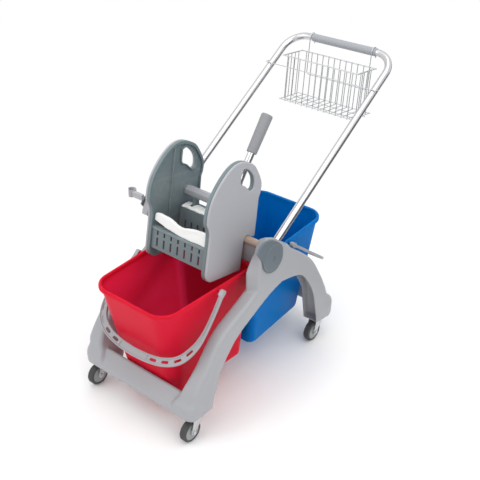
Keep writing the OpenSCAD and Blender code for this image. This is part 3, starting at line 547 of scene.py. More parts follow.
# Stations of an arch: top edge, underside edge, the foot's spread inward, outward at the top edge and
# outward at the underside, and the corner fillet.
# Each is measured from the front swivel's foot, the cross bar or the rear swivel's foot.
FRONT_ARM = [
    ("front", -0.052, 0.000, 0.044, 0.000, 1.00, 0.4, 0.4, 0.028),
    ("front", -0.051, 0.040, 0.054, 0.038, 0.95, 0.4, 0.4, 0.028),
    ("front", -0.035, 0.062, 0.066, 0.060, 0.60, 0.1, 0.1, 0.022),
    ("front", -0.025, 0.092, 0.075, 0.084, 0.30, 0.0, 0.0, 0.016),
    ("front", 0.019, 0.148, 0.094, 0.124, 0.05, 0.0, 0.0, 0.012),
    ("front", 0.104, 0.239, 0.160, 0.196, *PLAIN),
    ("bar", -0.112, -0.127, -0.080, -0.177, *PLAIN),
    ("bar", -0.029, -0.080, -0.025, -0.154, *PLAIN),
]
REAR_ARM = [
    ("bar", 0.060, -0.010, 0.026, -0.140, *PLAIN),
    ("bar", 0.101, -0.039, 0.066, -0.140, *PLAIN),
    ("rear", -0.095, 0.296, -0.150, 0.257, *PLAIN),
    ("rear", -0.037, 0.210, -0.091, 0.178, 0.05, 0.0, 0.0, 0.012),
    ("rear", 0.001, 0.138, -0.067, 0.123, 0.16, 0.0, 0.0, 0.012),
    ("rear", 0.021, 0.092, -0.059, 0.084, 0.24, 0.1, 0.0, 0.014),
    ("rear", 0.055, 0.060, -0.053, 0.052, 0.28, 0.8, 0.1, 0.030),
    ("rear", 0.067, 0.036, -0.049, 0.030, 0.28, 1.4, 0.2, 0.050),
    ("rear", 0.068, 0.000, -0.045, 0.000, 0.28, 1.4, 0.2, 0.055),
]
CHANNEL_DEPTH = 0.03
CHANNEL_OVERCUT = 0.003
CHANNEL_CORNER = 0.006
SMALLEST_FILLET = 0.002
RING_CLEARANCE = 0.0005
APRON_KNEE = 0.4
APRON_LIP = 0.008
LIP_WALLS = 1.4
FRONT_DEPTH = 0.046
REAR_DEPTH = 0.022
BLEND_STEPS = 5
BOSS_CURVE = [(-0.096, -0.050), (-0.095, -0.012), (-0.088, 0.018), (-0.071, 0.044), (-0.048, 0.060),
              (-0.028, 0.062), (0.000, 0.049), (0.036, 0.018), (0.064, -0.012)]
BOSS_FOOT = [(0.060, -0.060), (0.030, -0.110), (-0.020, -0.130)]
BOSS_START = (-0.096, -0.130)
BAR_SEAT = 0.014
BOSS_SLANT = 0.024
DOME_BACK = 0.030
DOME_DOWN = 0.020
AHEAD_SPAN = (0.02, 0.08)
NEAR_SPAN = (-0.045, 0.02)
UPPER_SPAN = (-0.05, 0.02)
STEM_SOCKET = [(0.014, 0.001), (0.014, 0.033), (0.013, 0.034), (0.002, 0.034)]


def station_point(s):
    """A station as one vector: top, underside, the three spreads and the corner."""
    base = {"front": (FRONT_SWIVEL.y, FOOT_Z), "rear": (REAR_SWIVEL.y, FOOT_Z), "bar": (BAR.y, BAR.z)}[s[0]]
    return Vector((base[0] + s[1], base[1] + s[2], base[0] + s[3], base[1] + s[4], *s[5:9]))


def arch_ring(s, wall):
    """A section of an arch, drawn in by the wall."""
    size = sizes()
    inner = FRONT_SWIVEL.x - size.arch_width / 2 + size.arch_shift
    outer = inner + size.arch_width
    foot_in = inner - (FRONT_SWIVEL.x - size.foot_reach)
    top = Vector(s[0:2])
    under = Vector(s[2:4])
    inward, outward, outward_low, corner = s[4:8]
    along = (top - under).normalized()
    high = (top - under).length
    if wall:
        high = min(high - wall, CHANNEL_DEPTH)
    low = -CHANNEL_OVERCUT if wall else 0.0
    x_in = inner - inward * foot_in + wall
    x_out = outer + outward * size.foot_flare - wall
    x_under = outer + outward_low * size.foot_flare - wall
    if wall:
        x_out = x_under
    r_in = max(size.arch_fillet - wall, SMALLEST_FILLET)
    r_out = CHANNEL_CORNER if wall else corner
    edge = [Vector((x_in, low))]
    edge += arc((x_in + r_in, high - r_in), r_in, 180, 90, 5)
    edge += arc((x_out - r_out, high - r_out), r_out, 90, 0, 7)
    edge += [Vector((x_under, low))]
    return [Vector((e[0], under[0] + along[0] * e[1], under[1] + along[1] * e[1])) for e in edge]


def arch(bm, stations, wall):
    """One arm of an arch as a closed skin, which stays above the feet's floor when it is a hollow."""
    rings = [arch_ring(s, wall) for s in smooth([station_point(s) for s in stations], 8)]
    if wall:
        floor = FOOT_Z + wall
        rings = [ring for ring in rings if min(p.z for p in ring) > floor + RING_CLEARANCE]
        end = 0 if stations[0][0] == "front" else -1
        rings[end] = [Vector((p.x, p.y, floor)) for p in rings[end]]
    loft(bm, rings)


def apron_profile(depth, wall):
    """Section of a cross member: inward distance and height pairs."""
    high = sizes().apron_height
    low = -OVERLAP if wall else 0.0
    lip = high - wall * LIP_WALLS
    return [(wall, low), (wall, high * APRON_KNEE - wall / 3), (depth - APRON_LIP, lip), (depth - wall, lip),
            (depth - wall, low)]


def apron(bm, outer_y, inward, depth, half, wall):
    """A cross member as a closed skin along X."""
    section = apron_profile(depth, wall)
    rings = []
    for x in (-half, half):
        rings.append([Vector((x, outer_y + inward * p[0], FOOT_Z + p[1])) for p in section])
    loft(bm, rings)


def mirrored(bm):
    """Adds the other side's copy of all faces."""
    copied = bmesh.ops.duplicate(bm, geom=bm.verts[:] + bm.edges[:] + bm.faces[:])
    other = [g for g in copied["geom"] if isinstance(g, bmesh.types.BMVert)]
    for v in other:
        v.co.x = -v.co.x


def share_of(value, low, high):
    """How far a value lies between two others, from 0 to 1."""
    return min(1.0, max(0.0, (value - low) / (high - low)))


def dome_boss(shell, boss_in, boss_out):
    """Slants a boss's front face outward and rounds its upper front corner on the inner side."""
    for v in shell.vertices:
        outward = share_of(v.co.x, boss_in, boss_out)
        ahead = share_of(BAR.y - v.co.y, *AHEAD_SPAN)
        near = share_of(BAR.y - v.co.y, *NEAR_SPAN)
        upper = share_of(v.co.z - BAR.z, *UPPER_SPAN)
        v.co.y += BOSS_SLANT * outward * ahead + DOME_BACK * (1 - outward) * upper * ahead
        v.co.z -= DOME_DOWN * (1 - outward) * upper * near


def with_sockets(mesh):
    """Adds the sockets that hold the casters' stems inside the feet."""
    bm = bmesh.new()
    add_mesh(bm, mesh)
    for corner in CORNERS:
        at = pivot_of("swivel_" + corner)
        lathe(bm, STEM_SOCKET, Matrix.Translation((at.x, at.y, FOOT_Z)), steps=24)
    return mesh_of(bm)


def about_bar(points, shift=(0.0, 0.0)):
    """Moves YZ points that are drawn about the cross bar's axis to their place."""
    return [(BAR.y + p[0] + shift[0], BAR.z + p[1] + shift[1]) for p in points]


def make_frame_moulding():
    """The frame moulding with its hollow underside."""
    size = sizes()
    boss_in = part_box("cross_bar")[1].x - BAR_SEAT
    boss_out = HUB_X[0].x
    aprons = (
        (FRONT_SWIVEL.y + FRONT_ARM[0][1], 1, FRONT_DEPTH),
        (REAR_SWIVEL.y + REAR_ARM[-1][1], -1, REAR_DEPTH),
    )
    boss = [Vector(BOSS_START)] + smooth(BOSS_CURVE, 8) + [Vector(p) for p in BOSS_FOOT]
    shell = plate_mesh([about_bar(boss)], boss_in, boss_out, size.boss_edge)
    dome_boss(shell, boss_in, boss_out)
    outside = bmesh.new()
    arch(outside, FRONT_ARM + REAR_ARM, 0.0)
    add_mesh(outside, shell)
    mirrored(outside)
    hollow = bmesh.new()
    arch(hollow, FRONT_ARM[:7], size.frame_wall)
    arch(hollow, REAR_ARM[1:], size.frame_wall)
    mirrored(hollow)
    shelf = bmesh.new()
    for edge, inward, depth in aprons:
        apron(outside, edge, inward, depth, FRONT_SWIVEL.x, 0.0)
        apron(shelf, edge, inward, depth, FRONT_SWIVEL.x - size.foot_reach, size.frame_wall)
    cutters = [scratch(mesh_of(hollow)), scratch(mesh_of(shelf))]
    whole = scratch(mesh_of(outside))
    join(whole, size.moulding_voxel, BLEND_STEPS)
    for cutter in cutters:
        step = whole.modifiers.new("Hollow", "BOOLEAN")
        step.operation = "DIFFERENCE"
        step.solver = "MANIFOLD"
        step.object = cutter
    mesh = with_sockets(evaluated_mesh(whole))
    for cutter in cutters:
        bpy.data.meshes.remove(cutter.data)
    dress(mesh, "frame_moulding", "frame_plastic", "frame",
          ["side_frame_right", "side_frame_left", "front_cross_member", "rear_cross_member"], weighted=False)


# Hub covers

HUB_BEAN = [(-0.095, 0.036), (-0.069, 0.058), (-0.043, 0.059), (-0.011, 0.046), (0.029, 0.012),
            (0.036, -0.024), (0.026, -0.050), (-0.001, -0.067), (-0.035, -0.062), (-0.058, -0.036),
            (-0.065, -0.009), (-0.079, 0.014), (-0.095, 0.036)]
HUB_PLATE = 0.007
HUB_DISC = (-0.015, -0.014)
HUB_PROFILE = [(0.043, 0.001), (0.046, 0.0066), (0.0455, 0.0078), (0.043, 0.0088), (0.032, 0.0096),
               (0.0085, 0.0099), (0.0075, 0.0082), (0.002, 0.0082)]


def make_hub_covers():
    """Bean-shaped clamp covers with a shallow domed disc and a screw hollow."""
    inner = HUB_X[0].x
    bean = about_bar(smooth(HUB_BEAN, 6)[:-1])
    turn = along_x(1, inner, BAR.y + HUB_DISC[0], BAR.z + HUB_DISC[1])
    for side, name in SIDES:
        flip = Matrix.Diagonal((side, 1, 1, 1))
        bm = bmesh.new()
        add_mesh(bm, plate_mesh([bean], inner, inner + HUB_PLATE, edge=0.0025), flip)
        lathe(bm, HUB_PROFILE, flip @ turn, steps=48)
        node = "hub_cover_" + name
        piece_from(bm, node + "_moulded", "hub_plastic", "frame", [node])


# Mop clip, with its open ring around an upright stick

CLIP_BORE_RADIUS = 0.012
CLIP_OUTER_RADIUS = 0.0158
CLIP_PLACE = Vector((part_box("mop_clip")[0].x + CLIP_OUTER_RADIUS, BAR.y - 0.086, BAR.z + 0.061))
CLIP_START = -88
CLIP_END = 182
CLIP_HALF_HEIGHT = 0.012
CLIP_SINK = 0.006
CLIP_ARM = ((-0.011, -0.009), (0.001, -0.009), (0.001, 0.010), (-0.011, 0.010))
SADDLE_WIDTH = 0.026
SADDLE_END = -0.040
SADDLE_REST = (0.004, -0.003)
SADDLE_CAP = (-0.004, 0.004)
FLAT = Matrix(((0, 1, 0, 0), (0, 0, 1, 0), (1, 0, 0, 0), (0, 0, 0, 1)))


def make_mop_clip():
    """An open spring ring on an arm, with a saddle on the far boss."""
    inner = -HUB_X[0].x
    x, y, z = CLIP_PLACE
    loop = arc((x, y), CLIP_OUTER_RADIUS, CLIP_START, CLIP_END, 40)
    loop += arc((x, y), CLIP_BORE_RADIUS, CLIP_END, CLIP_START, 40)
    arm = [(y + p[0], z + p[1]) for p in CLIP_ARM]
    boss = [p for p in smooth(BOSS_CURVE, 8) if p[0] < SADDLE_END and p[1] > 0.0]
    saddle = about_bar(boss, SADDLE_REST) + about_bar(reversed(boss), SADDLE_CAP)
    bm = bmesh.new()
    add_mesh(bm, plate_mesh([loop], z - CLIP_HALF_HEIGHT, z + CLIP_HALF_HEIGHT, edge=0.0008), FLAT)
    add_mesh(bm, plate_mesh([arm], x + CLIP_BORE_RADIUS + OVERLAP, inner + CLIP_SINK, edge=0.0018))
    add_mesh(bm, plate_mesh([saddle], inner + OVERLAP, inner + SADDLE_WIDTH, edge=0.0015))
    piece_from(bm, "mop_clip_moulded", "cover_plastic", "frame", ["mop_clip"])


# Buckets, drawn with Y running outward from the cross bar

BUCKET_HALF_GAP = 0.006
BUCKET_LENGTH = 0.404
BUCKET_WIDTH = 0.342
SHOULDER_Z = FOOT_Z + 0.017
SIDE_DRAFT = 0.095
OUTER_DRAFT = 0.193
INNER_DRAFT = 0.026
OUTER_TAPER = 0.013
SHOULDER_SET = 0.016
SHOULDER_STEP = 0.001
HEEL_RADIUS = 0.008
INNER_CORNER = 0.026
OUTER_CORNER = 0.058
CORNER_DRAFT = 0.03
SMALLEST_CORNER = 0.004
OUTSIDE_SHARES = (0.02, 0.06, 0.35, 0.7, 0.94, 0.975)
INSIDE_SHARES = (0.975, 0.94, 0.7, 0.35, 0.06, 0.03)
RIM_FILLET = 0.0015
RIM_CROWN = 0.0065
STUD_RADIUS = 0.006
STUD_START = 0.163
STUD_EDGE = 0.0006
STUD_CORE = 0.002


def bucket_ring(z, inset, drop_z, cut=None):
    """Outline of a bucket: drop_z sets the taper, z the height, and cut ends the outer side early."""
    size = sizes()
    fall = RIM_Z - size.rim_height - drop_z
    half_in = BUCKET_WIDTH / 2 - size.rim_over - fall * SIDE_DRAFT - inset
    half_out = half_in - OUTER_TAPER
    y_in = BUCKET_HALF_GAP + size.rim_over + fall * INNER_DRAFT + inset
    y_out = BUCKET_HALF_GAP + BUCKET_LENGTH - size.rim_over - fall * OUTER_DRAFT - inset
    r_in = max(INNER_CORNER - inset, SMALLEST_CORNER)
    r_out = max(OUTER_CORNER - fall * CORNER_DRAFT - inset, SMALLEST_CORNER)
    flat = arc((half_in - r_in, y_in + r_in), r_in, -90, 0, 8)
    flat += arc((half_out - r_out, y_out - r_out), r_out, 0, 90, 12)
    flat += arc((-half_out + r_out, y_out - r_out), r_out, 90, 180, 12)
    flat += arc((-half_in + r_in, y_in + r_in), r_in, 180, 270, 8)
    return [Vector((p[0], p[1] if cut is None else min(p[1], cut), z)) for p in flat]


def heel_rings(angles, wall, cut):
    """Rings of a bucket's rounded heel, drawn in by the wall."""
    rings = []
    for a in angles:
        inset = wall + HEEL_RADIUS * (1 - math.sin(math.radians(a)))
        z = BUCKET_LOW_Z + wall + HEEL_RADIUS * (1 - math.cos(math.radians(a)))
        rings.append(bucket_ring(z, inset, z, cut - inset))
    return rings


def wall_rings(shares, wall):
    """Rings of a bucket's wall at shares of its height above the shoulder."""
    top = RIM_Z - sizes().rim_height
    heights = [SHOULDER_Z + (top - SHOULDER_Z) * share for share in shares]
    return [bucket_ring(z, wall, z) for z in heights]


def bucket_rings():
    """All rings of a bucket, up the outside, over the rim and down the inside."""
    size = sizes()
    wall = size.bucket_wall
    over = size.rim_over
    top = RIM_Z - size.rim_height
    cut = BUCKET_HALF_GAP + BUCKET_LENGTH - over - (top - SHOULDER_Z) * OUTER_DRAFT - SHOULDER_SET
    rings = heel_rings((0, 30, 60, 90), 0.0, cut)
    rings.append(bucket_ring(SHOULDER_Z - SHOULDER_STEP, 0.0, SHOULDER_Z, cut))
    rings.append(bucket_ring(SHOULDER_Z + SHOULDER_STEP, 0.0, SHOULDER_Z))
    rings += wall_rings(OUTSIDE_SHARES, 0.0)
    under_rim = ((-0.003, 0.0), (-0.0006, -RIM_FILLET), (0.0, -over + RIM_FILLET), (0.0012, -over))
    for rise, inset in under_rim:
        rings.append(bucket_ring(top + rise, inset, top))
    half = (over + wall) / 2
    for a in range(180, -1, -20):
        inset = -over + half + half * math.cos(math.radians(a))
        z = RIM_Z - RIM_CROWN + RIM_CROWN * math.sin(math.radians(a))
        rings.append(bucket_ring(z, inset, top))
    rings += wall_rings(INSIDE_SHARES, wall)
    rings.append(bucket_ring(SHOULDER_Z + wall + SHOULDER_STEP, wall, SHOULDER_Z))
    rings.append(bucket_ring(SHOULDER_Z + wall - SHOULDER_STEP, wall, SHOULDER_Z, cut - wall))
    return rings + heel_rings((90, 60, 30, 0), wall, cut)


def make_bucket(node, joint, outward, body, made_of):
    """A bucket shell with its rolled rim and the studs that carry the bail."""
    pivot = pivot_of(joint)
    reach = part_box(node)[1].x
    stud = [(STUD_RADIUS, STUD_START), (STUD_RADIUS, reach - STUD_EDGE), (STUD_RADIUS - STUD_EDGE, reach),
            (STUD_CORE, reach)]
    place = Matrix.Translation((0, BAR.y, 0)) @ Matrix.Diagonal((1, outward, 1, 1))
    bm = bmesh.new()
    loft(bm, [[place @ p for p in ring] for ring in bucket_rings()])
    for side in (1, -1):
        lathe(bm, stud, along_x(side, 0, pivot.y, pivot.z), steps=24)
    piece_from(bm, node + "_shell", made_of, body, [node], sharp=50.0)


# Bails, drawn flat with Y along their reach

BAIL_REACH = 0.285
BAIL_HALF = 0.197
EAR_IN = 0.174
EAR_WIDTH = 0.014
EAR_RADIUS = 0.0085
BAIL_CURVE = [
    (EAR_IN + EAR_WIDTH / 2, 0.0), (BAIL_HALF - 0.006, BAIL_REACH * 0.24), (BAIL_HALF, BAIL_REACH * 0.48),
    (BAIL_HALF - 0.006, BAIL_REACH * 0.668), (BAIL_HALF * 0.84, BAIL_REACH * 0.8425),
    (BAIL_HALF * 0.6, BAIL_REACH * 0.942), (BAIL_HALF * 0.3, BAIL_REACH * 0.986), (0.0, BAIL_REACH),
]
EAR_LENGTH = 0.014
NARROW_HALF = 0.006
WIDEN_FROM = 0.1
WIDEN_TO = 0.25
SLOT_LENGTH = 0.026
SLOT_WIDTH = 0.009
SLOT_PLACES = (0.082, 0.126, 0.17, 0.214)
GRIP_HALF = 0.058
GRIP_BAR = 0.0016
STRAP_TRIM = 3
STRAP_SMALLEST = 0.0012
WEB_SET = 0.0008
WEB_SHARE = 0.2
BAR_SHARE = 0.46


def bail_line():
    """Middle line of a bail from its right ear to its left one."""
    right = smooth(BAIL_CURVE, 8)
    return right + [Vector((-p.x, p.y)) for p in reversed(right[:-1])]


def strap_half(y):
    """Half width of a bail's strap at a distance from its pivots."""
    t = share_of(y, WIDEN_FROM, WIDEN_TO)
    return NARROW_HALF + (sizes().strap_width / 2 - NARROW_HALF) * t * t * (3 - 2 * t)


def line_normal(line, i):
    """Outward normal of a line at one of its points."""
    d = (line[min(i + 1, len(line) - 1)] - line[max(i - 1, 0)]).normalized()
    return Vector((d.y, -d.x))


def strap_loop(line, inset):
    """Outline of a strap, drawn in by an amount."""
    sides = ([], [])
    for i, p in enumerate(line):
        n = line_normal(line, i)
        half = max(strap_half(p.y) - inset, STRAP_SMALLEST)
        sides[0].append(p + n * half)
        sides[1].append(p - n * half)
    if not inset:
        return sides[0] + sides[1][::-1]
    return sides[0][STRAP_TRIM:-STRAP_TRIM] + sides[1][::-1][STRAP_TRIM:-STRAP_TRIM]


def along_line(line, distance, side):
    """Point and normal at a distance from the middle of a line, to the right or the left."""
    i = len(line) // 2
    step = (line[i - 1] - line[i]).length
    while distance > step:
        distance -= step
        i -= 1
        step = (line[i - 1] - line[i]).length
    at = line[i].lerp(line[i - 1], distance / step)
    normal = line_normal(line, i)
    return Vector((at.x * side, at.y)), Vector((normal.x * side, normal.y))


def slot_loop(at, normal):
    """A slot with round ends, square to a normal."""
    ahead = Vector((-normal.y, normal.x))
    radius = SLOT_WIDTH / 2
    half = SLOT_LENGTH / 2 - radius
    loop = [at + ahead * (half + p.x) + normal * p.y for p in arc((0, 0), radius, -90, 90, 6)]
    return loop + [at + ahead * (p.x - half) + normal * p.y for p in arc((0, 0), radius, 90, 270, 6)]


def grip_end_loop(at, normal):
    """A narrow bar across the strap that ends the plain grip."""
    size = sizes()
    ahead = Vector((-normal.y, normal.x)) * GRIP_BAR
    across = normal * (size.strap_width / 2 - size.strap_edge / 2)
    return [at + ahead + across, at + ahead - across, at - ahead - across, at - ahead + across]


def make_bail(node, joint, outward, drop):
    """A strap with raised edges, slots beside a plain grip, and thick ears."""
    size = sizes()
    thick = size.strap_thickness
    line = bail_line()
    web = [strap_loop(line, WEB_SET)]
    bm = bmesh.new()
    for side in (1, -1):
        web += [slot_loop(*along_line(line, distance, side)) for distance in SLOT_PLACES]
        bar = grip_end_loop(*along_line(line, GRIP_HALF, side))
        add_mesh(bm, plate_mesh([bar], -thick * BAR_SHARE, thick * BAR_SHARE, edge=0.0007), FLAT)
    add_mesh(bm, plate_mesh(web, -thick * WEB_SHARE, thick * WEB_SHARE, edge=0.0008), FLAT)
    rim = [strap_loop(line, 0.0), strap_loop(line, size.strap_edge)]
    add_mesh(bm, plate_mesh(rim, -thick / 2, thick / 2, edge=0.0012), FLAT)
    ear = arc((0, 0), EAR_RADIUS, 90, 270, 12)
    ear += [Vector((EAR_LENGTH, -EAR_RADIUS)), Vector((EAR_LENGTH, EAR_RADIUS))]
    flips = [Matrix.Diagonal((side, 1, 1, 1)) for side in (1, -1)]
    add_mesh(bm, plate_mesh([ear], EAR_IN, EAR_IN + EAR_WIDTH, edge=0.0015), *flips)
    hang = Matrix.Rotation(math.radians(-drop), 4, "X")
    place = Matrix.Translation(pivot_of(joint)) @ Matrix.Diagonal((1, outward, 1, 1)) @ hang
    bmesh.ops.transform(bm, matrix=place, verts=bm.verts)
    piece_from(bm, node + "_strap", "frame_plastic", node, [node])


# Wringer, drawn upright about the cross bar's axis and then leant back

WRINGER_TILT = math.radians(10.5)
HOOK_RADIUS = 0.0133
HOOK_GROWTH = 0.085
PLATE_LOW = -0.104
PLATE_MID = Vector((-0.080, 0.085))
PLATE_CURVE = [(-0.186, -0.054), (-0.185, 0.056), (-0.202, 0.101), (-0.194, 0.161), (-0.162, 0.215),
               (-0.117, 0.256), (-0.071, 0.268), (-0.017, 0.253), (0.011, 0.229), (0.040, 0.185),
               (0.042, 0.152), (0.036, 0.132)]
PLATE_BACK = [(0.040, 0.020), (0.040, 0.002), (-0.0143, 0.0), (-0.0143, PLATE_LOW)]
TOE_RADIUS = 0.036
TOE_PLACE = (-0.150, PLATE_LOW + TOE_RADIUS)
PLATE_RIB = [(-0.104, 0.030), (-0.099, 0.030), (-0.099, 0.252), (-0.104, 0.252)]
PLATE_SKIN = 0.005
HOLE_CURVE = [(-0.066, 0.238), (-0.064, 0.197), (-0.040, 0.185), (-0.014, 0.166), (0.004, 0.172),
              (0.000, 0.204), (-0.024, 0.230), (-0.052, 0.243), (-0.066, 0.238)]
HOLE_COLLAR = 1.16
RIM_SHARE = 0.94


def wringer_place():
    """From the wringer's upright drawing to its place."""
    return Matrix.Translation((0, BAR.y, BAR.z)) @ Matrix.Rotation(-WRINGER_TILT, 4, "X")


def plate_outline(share):
    """Outline of a wringer plate, drawn towards its middle by a share."""
    points = arc(TOE_PLACE, TOE_RADIUS, 270, 180, 8) + smooth(PLATE_CURVE, 6)
    points += [Vector(p) for p in PLATE_BACK]
    points = [PLATE_MID + (p - PLATE_MID) * share for p in points]
    radius = HOOK_RADIUS + (1 - share) * HOOK_GROWTH
    start = math.degrees(math.asin(points[-3].y / radius))
    end = 180 - math.degrees(math.asin(points[-2].y / radius))
    return points[:-2] + arc((0, 0), radius, start, end, 14) + points[-2:]


def hole_outline(grow):
    """Outline of the grip hole, grown about its middle."""
    points = smooth(HOLE_CURVE, 6)[:-1]
    middle = sum(points, Vector((0, 0))) / len(points)
    return [middle + (p - middle) * grow for p in points]


def make_wringer_sides():
    """Dark inner plates with a flange and a rib, and light covers over them."""
    plate = plate_outline(1.0)
    hole = hole_outline(1.0)
    inner = PLATE_X[0].x
    outer = PLATE_X[1].x
    inside = outer - PLATE_SKIN + OVERLAP
    for side, name in SIDES:
        place = wringer_place() @ Matrix.Diagonal((side, 1, 1, 1))
        node = "wringer_cover_" + name
        bm = bmesh.new()
        add_mesh(bm, plate_mesh([plate, hole], COVER_X[0].x, COVER_X[1].x, sizes().cover_edge), place)
        piece_from(bm, node + "_moulded", "cover_plastic", "wringer", [node])
        node = "wringer_plate_" + name
        bm = bmesh.new()
        add_mesh(bm, plate_mesh([plate, hole], outer - PLATE_SKIN, outer, edge=0.0015), place)
        add_mesh(bm, plate_mesh([plate, plate_outline(RIM_SHARE)], inner, inside, edge=0.0015), place)
        add_mesh(bm, plate_mesh([hole_outline(HOLE_COLLAR), hole], inner, inside, edge=0.0012), place)
        add_mesh(bm, plate_mesh([PLATE_RIB], inner, inside, edge=0.001), place)
        piece_from(bm, node + "_moulded", "wringer_plastic", "wringer", [node])


# Push handle

HANDLE_SLOPE = math.radians(32.6)
HANDLE_LENGTH = 0.792
HANDLE_BEND = 0.075


def handle_points():
    """Middle line of the push handle from one boss to the other."""
    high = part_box("handle_tube")[1]
    radius = sizes().tube_diameter / 2
    half = high.x - radius
    along = Vector((0, math.cos(HANDLE_SLOPE), math.sin(HANDLE_SLOPE)))
    start = Vector((0, high.y - radius, high.z - radius)) - along * HANDLE_LENGTH
    straight = HANDLE_LENGTH - HANDLE_BEND
    right = [start + Vector((half, 0, 0)), start + Vector((half, 0, 0)) + along * straight]
    for p in arc((half - HANDLE_BEND, straight), HANDLE_BEND, 0, 90, 12)[1:]:
        right.append(start + Vector((p.x, 0, 0)) + along * p.y)
    return right + [Vector((-p.x, p.y, p.z)) for p in reversed(right)]


# Press pads

PAD_STEPS = 6
FOLD_SCALE = 2.3
FOLD_SHARE = 0.5
FOLD_SINK = 0.5
FOLD_SHIFT = Vector((3.1, 1.7, 0.4))


def make_pad(node, body, step, depth, grain):
    """A pad of soft folds in a solid's place."""
    bm = bmesh.new()
    bm.from_mesh(nodes[node].data)
    bmesh.ops.remove_doubles(bm, verts=bm.verts, dist=WELD_GAP)
    start = scratch(mesh_of(bm))
    join(start, step, PAD_STEPS)
    bm = bmesh.new()
    add_mesh(bm, evaluated_mesh(start))
    bm.normal_update()
    for v in bm.verts:
        small = noise.noise(v.co * FOLD_SCALE / grain + FOLD_SHIFT)
        fold = noise.noise(v.co / grain) + FOLD_SHARE * small
        v.co += v.normal * (depth * (fold - FOLD_SINK))
    piece_from(bm, node + "_soft", "pad_plastic", body, [node], sharp=80.0, weighted=False)


# Operators


def paint(names, made_of):
    """Gives solids that keep their own mesh a material."""
    for name in names:
        coat(nodes[name].data, made_of)


class TROLLEY_OT_frame(Operator):
    """Build the frame moulding, the hub covers and the beam"""

    bl_idname = "trolley.frame"
    bl_label = "Frame"

    def execute(self, context):
        make_frame_moulding()
        make_hub_covers()
        rounded_piece("centre_beam", "frame_plastic", "frame", edge=0.001)
        make_mop_clip()
        paint(["cross_bar"], "bar_steel")
        return {"FINISHED"}


class TROLLEY_OT_buckets(Operator):
    """Build both buckets"""

    bl_idname = "trolley.buckets"
    bl_label = "Buckets"

    def execute(self, context):
        make_bucket("red_bucket", "red_bail_swing", -1, "frame", "red_plastic")
        make_bucket("blue_bucket", "blue_bail_swing", 1, "blue_bucket", "blue_plastic")
        return {"FINISHED"}


class TROLLEY_OT_bails(Operator):
    """Build the carrying bails of both buckets"""

    bl_idname = "trolley.bails"
    bl_label = "Bails"

    def execute(self, context):
        make_bail("red_bail", "red_bail_swing", -1, drop=40.0)
        make_bail("blue_bail", "blue_bail_swing", 1, drop=38.0)
        return {"FINISHED"}


class TROLLEY_OT_wringer(Operator):
    """Build the wringer's sides, jaws, pads and lever"""

    bl_idname = "trolley.wringer"
    bl_label = "Wringer"

    def execute(self, context):
        make_wringer_sides()
        make_pad("front_press_pad", "wringer", step=0.0022, depth=0.0012, grain=0.03)
        make_pad("rear_press_pad", "press", step=0.002, depth=0.0018, grain=0.018)
        rounded_piece("wringer_front_wall", "wringer_plastic", "wringer", edge=0.0008)
        rounded_piece("press_jaw", "wringer_plastic", "press", edge=0.0008)
        rounded_piece("press_shaft", "cover_plastic", "press", edge=0.0012)
        # The lever grip wears the grips' finish darkened: painted shade
        rounded_piece("lever_grip", "lever_plastic", "press", edge=0.0015)
        paint(["shaft_bushes"], "wringer_plastic")
        paint(["lever_tube"], "chromed_steel")
        return {"FINISHED"}


class TROLLEY_OT_handle(Operator):
    """Build the push handle and its grip"""

    bl_idname = "trolley.handle"
    bl_label = "Push handle"

    def execute(self, context):
        mesh = tube_mesh(handle_points(), sizes().tube_diameter / 2)
        dress(mesh, "handle_tube_bent", "chromed_steel", "frame", ["handle_tube"])
        rounded_piece("handle_grip", "grip_plastic", "frame", edge=0.0012)
        return {"FINISHED"}


class TROLLEY_OT_basket(Operator):
    """Finish the wire basket"""

    bl_idname = "trolley.basket"
    bl_label = "Basket"

    def execute(self, context):
        paint(BASKET, "wire_steel")
        return {"FINISHED"}


class TROLLEY_OT_casters(Operator):
    """Build the swivel casters"""

    bl_idname = "trolley.casters"
    bl_label = "Casters"

    def execute(self, context):
        paint(["caster_stems"], "zinc_steel")
        for corner in CORNERS:
            rounded_piece("fork_" + corner, "zinc_steel", "caster_" + corner, edge=0.0006)
            paint(["axle_" + corner], "zinc_steel")
            paint(["wheel_hub_" + corner], "wheel_plastic")
            paint(["tyre_" + corner], "tyre_rubber")
        return {"FINISHED"}


# Studio

CAMERA_PLACE = Vector((1.504, -1.655, 1.862))
CAMERA_LOOK = Vector((-0.5417, 0.6583, -0.5227))
CAMERA_LENS = 61.2
CAMERA_SENSOR = 36.0
WORLD_LIGHT = 0.95
SHADOW_REACH = (0.75, 1.5)
FLOOR_DROP = 0.0005
FLOOR_HALF = 30.0
# Place, target, width and power of each lamp
LAMPS = {
    "key": ((-1.2, -2.4, 3.0), (0, 0.1, 0.4), 2.0, 24.0),
    "fill": ((2.6, -0.6, 2.4), (0, 0.1, 0.4), 2.4, 20.0),
    "top": ((0.2, 0.4, 3.4), (0, 0.1, 0.3), 2.6, 26.0),
}
# Corners and shade of each card
CARDS = {
    "right_card": ([(1.8, -0.6, 0.0), (1.8, 2.2, 0.0), (1.8, 2.2, 1.1), (1.8, -0.6, 1.1)], 0.12),
    "back_card": ([(-1.4, 2.6, 0.0), (1.0, 2.6, 0.0), (1.0, 2.6, 0.8), (-1.4, 2.6, 0.8)], 0.12),
    "low_card": ([(0.3, 0.55, 0.004), (3.0, 0.55, 0.004), (3.0, 4.0, 0.004), (0.3, 4.0, 0.004)], 0.2),
}


def aim(made, place, direction):
    """Puts a camera or a lamp at a place and turns it to a direction."""
    made.location = place
    made.rotation_mode = "QUATERNION"
    made.rotation_quaternion = direction.to_track_quat("-Z", "Y")


def make_camera():
    """The camera at the photograph's viewing angle."""
    data = bpy.data.cameras.new("camera")
    data.lens = CAMERA_LENS
    data.sensor_width = CAMERA_SENSOR
    camera = new_object("camera", data)
    aim(camera, CAMERA_PLACE, CAMERA_LOOK)
    bpy.context.scene.camera = camera


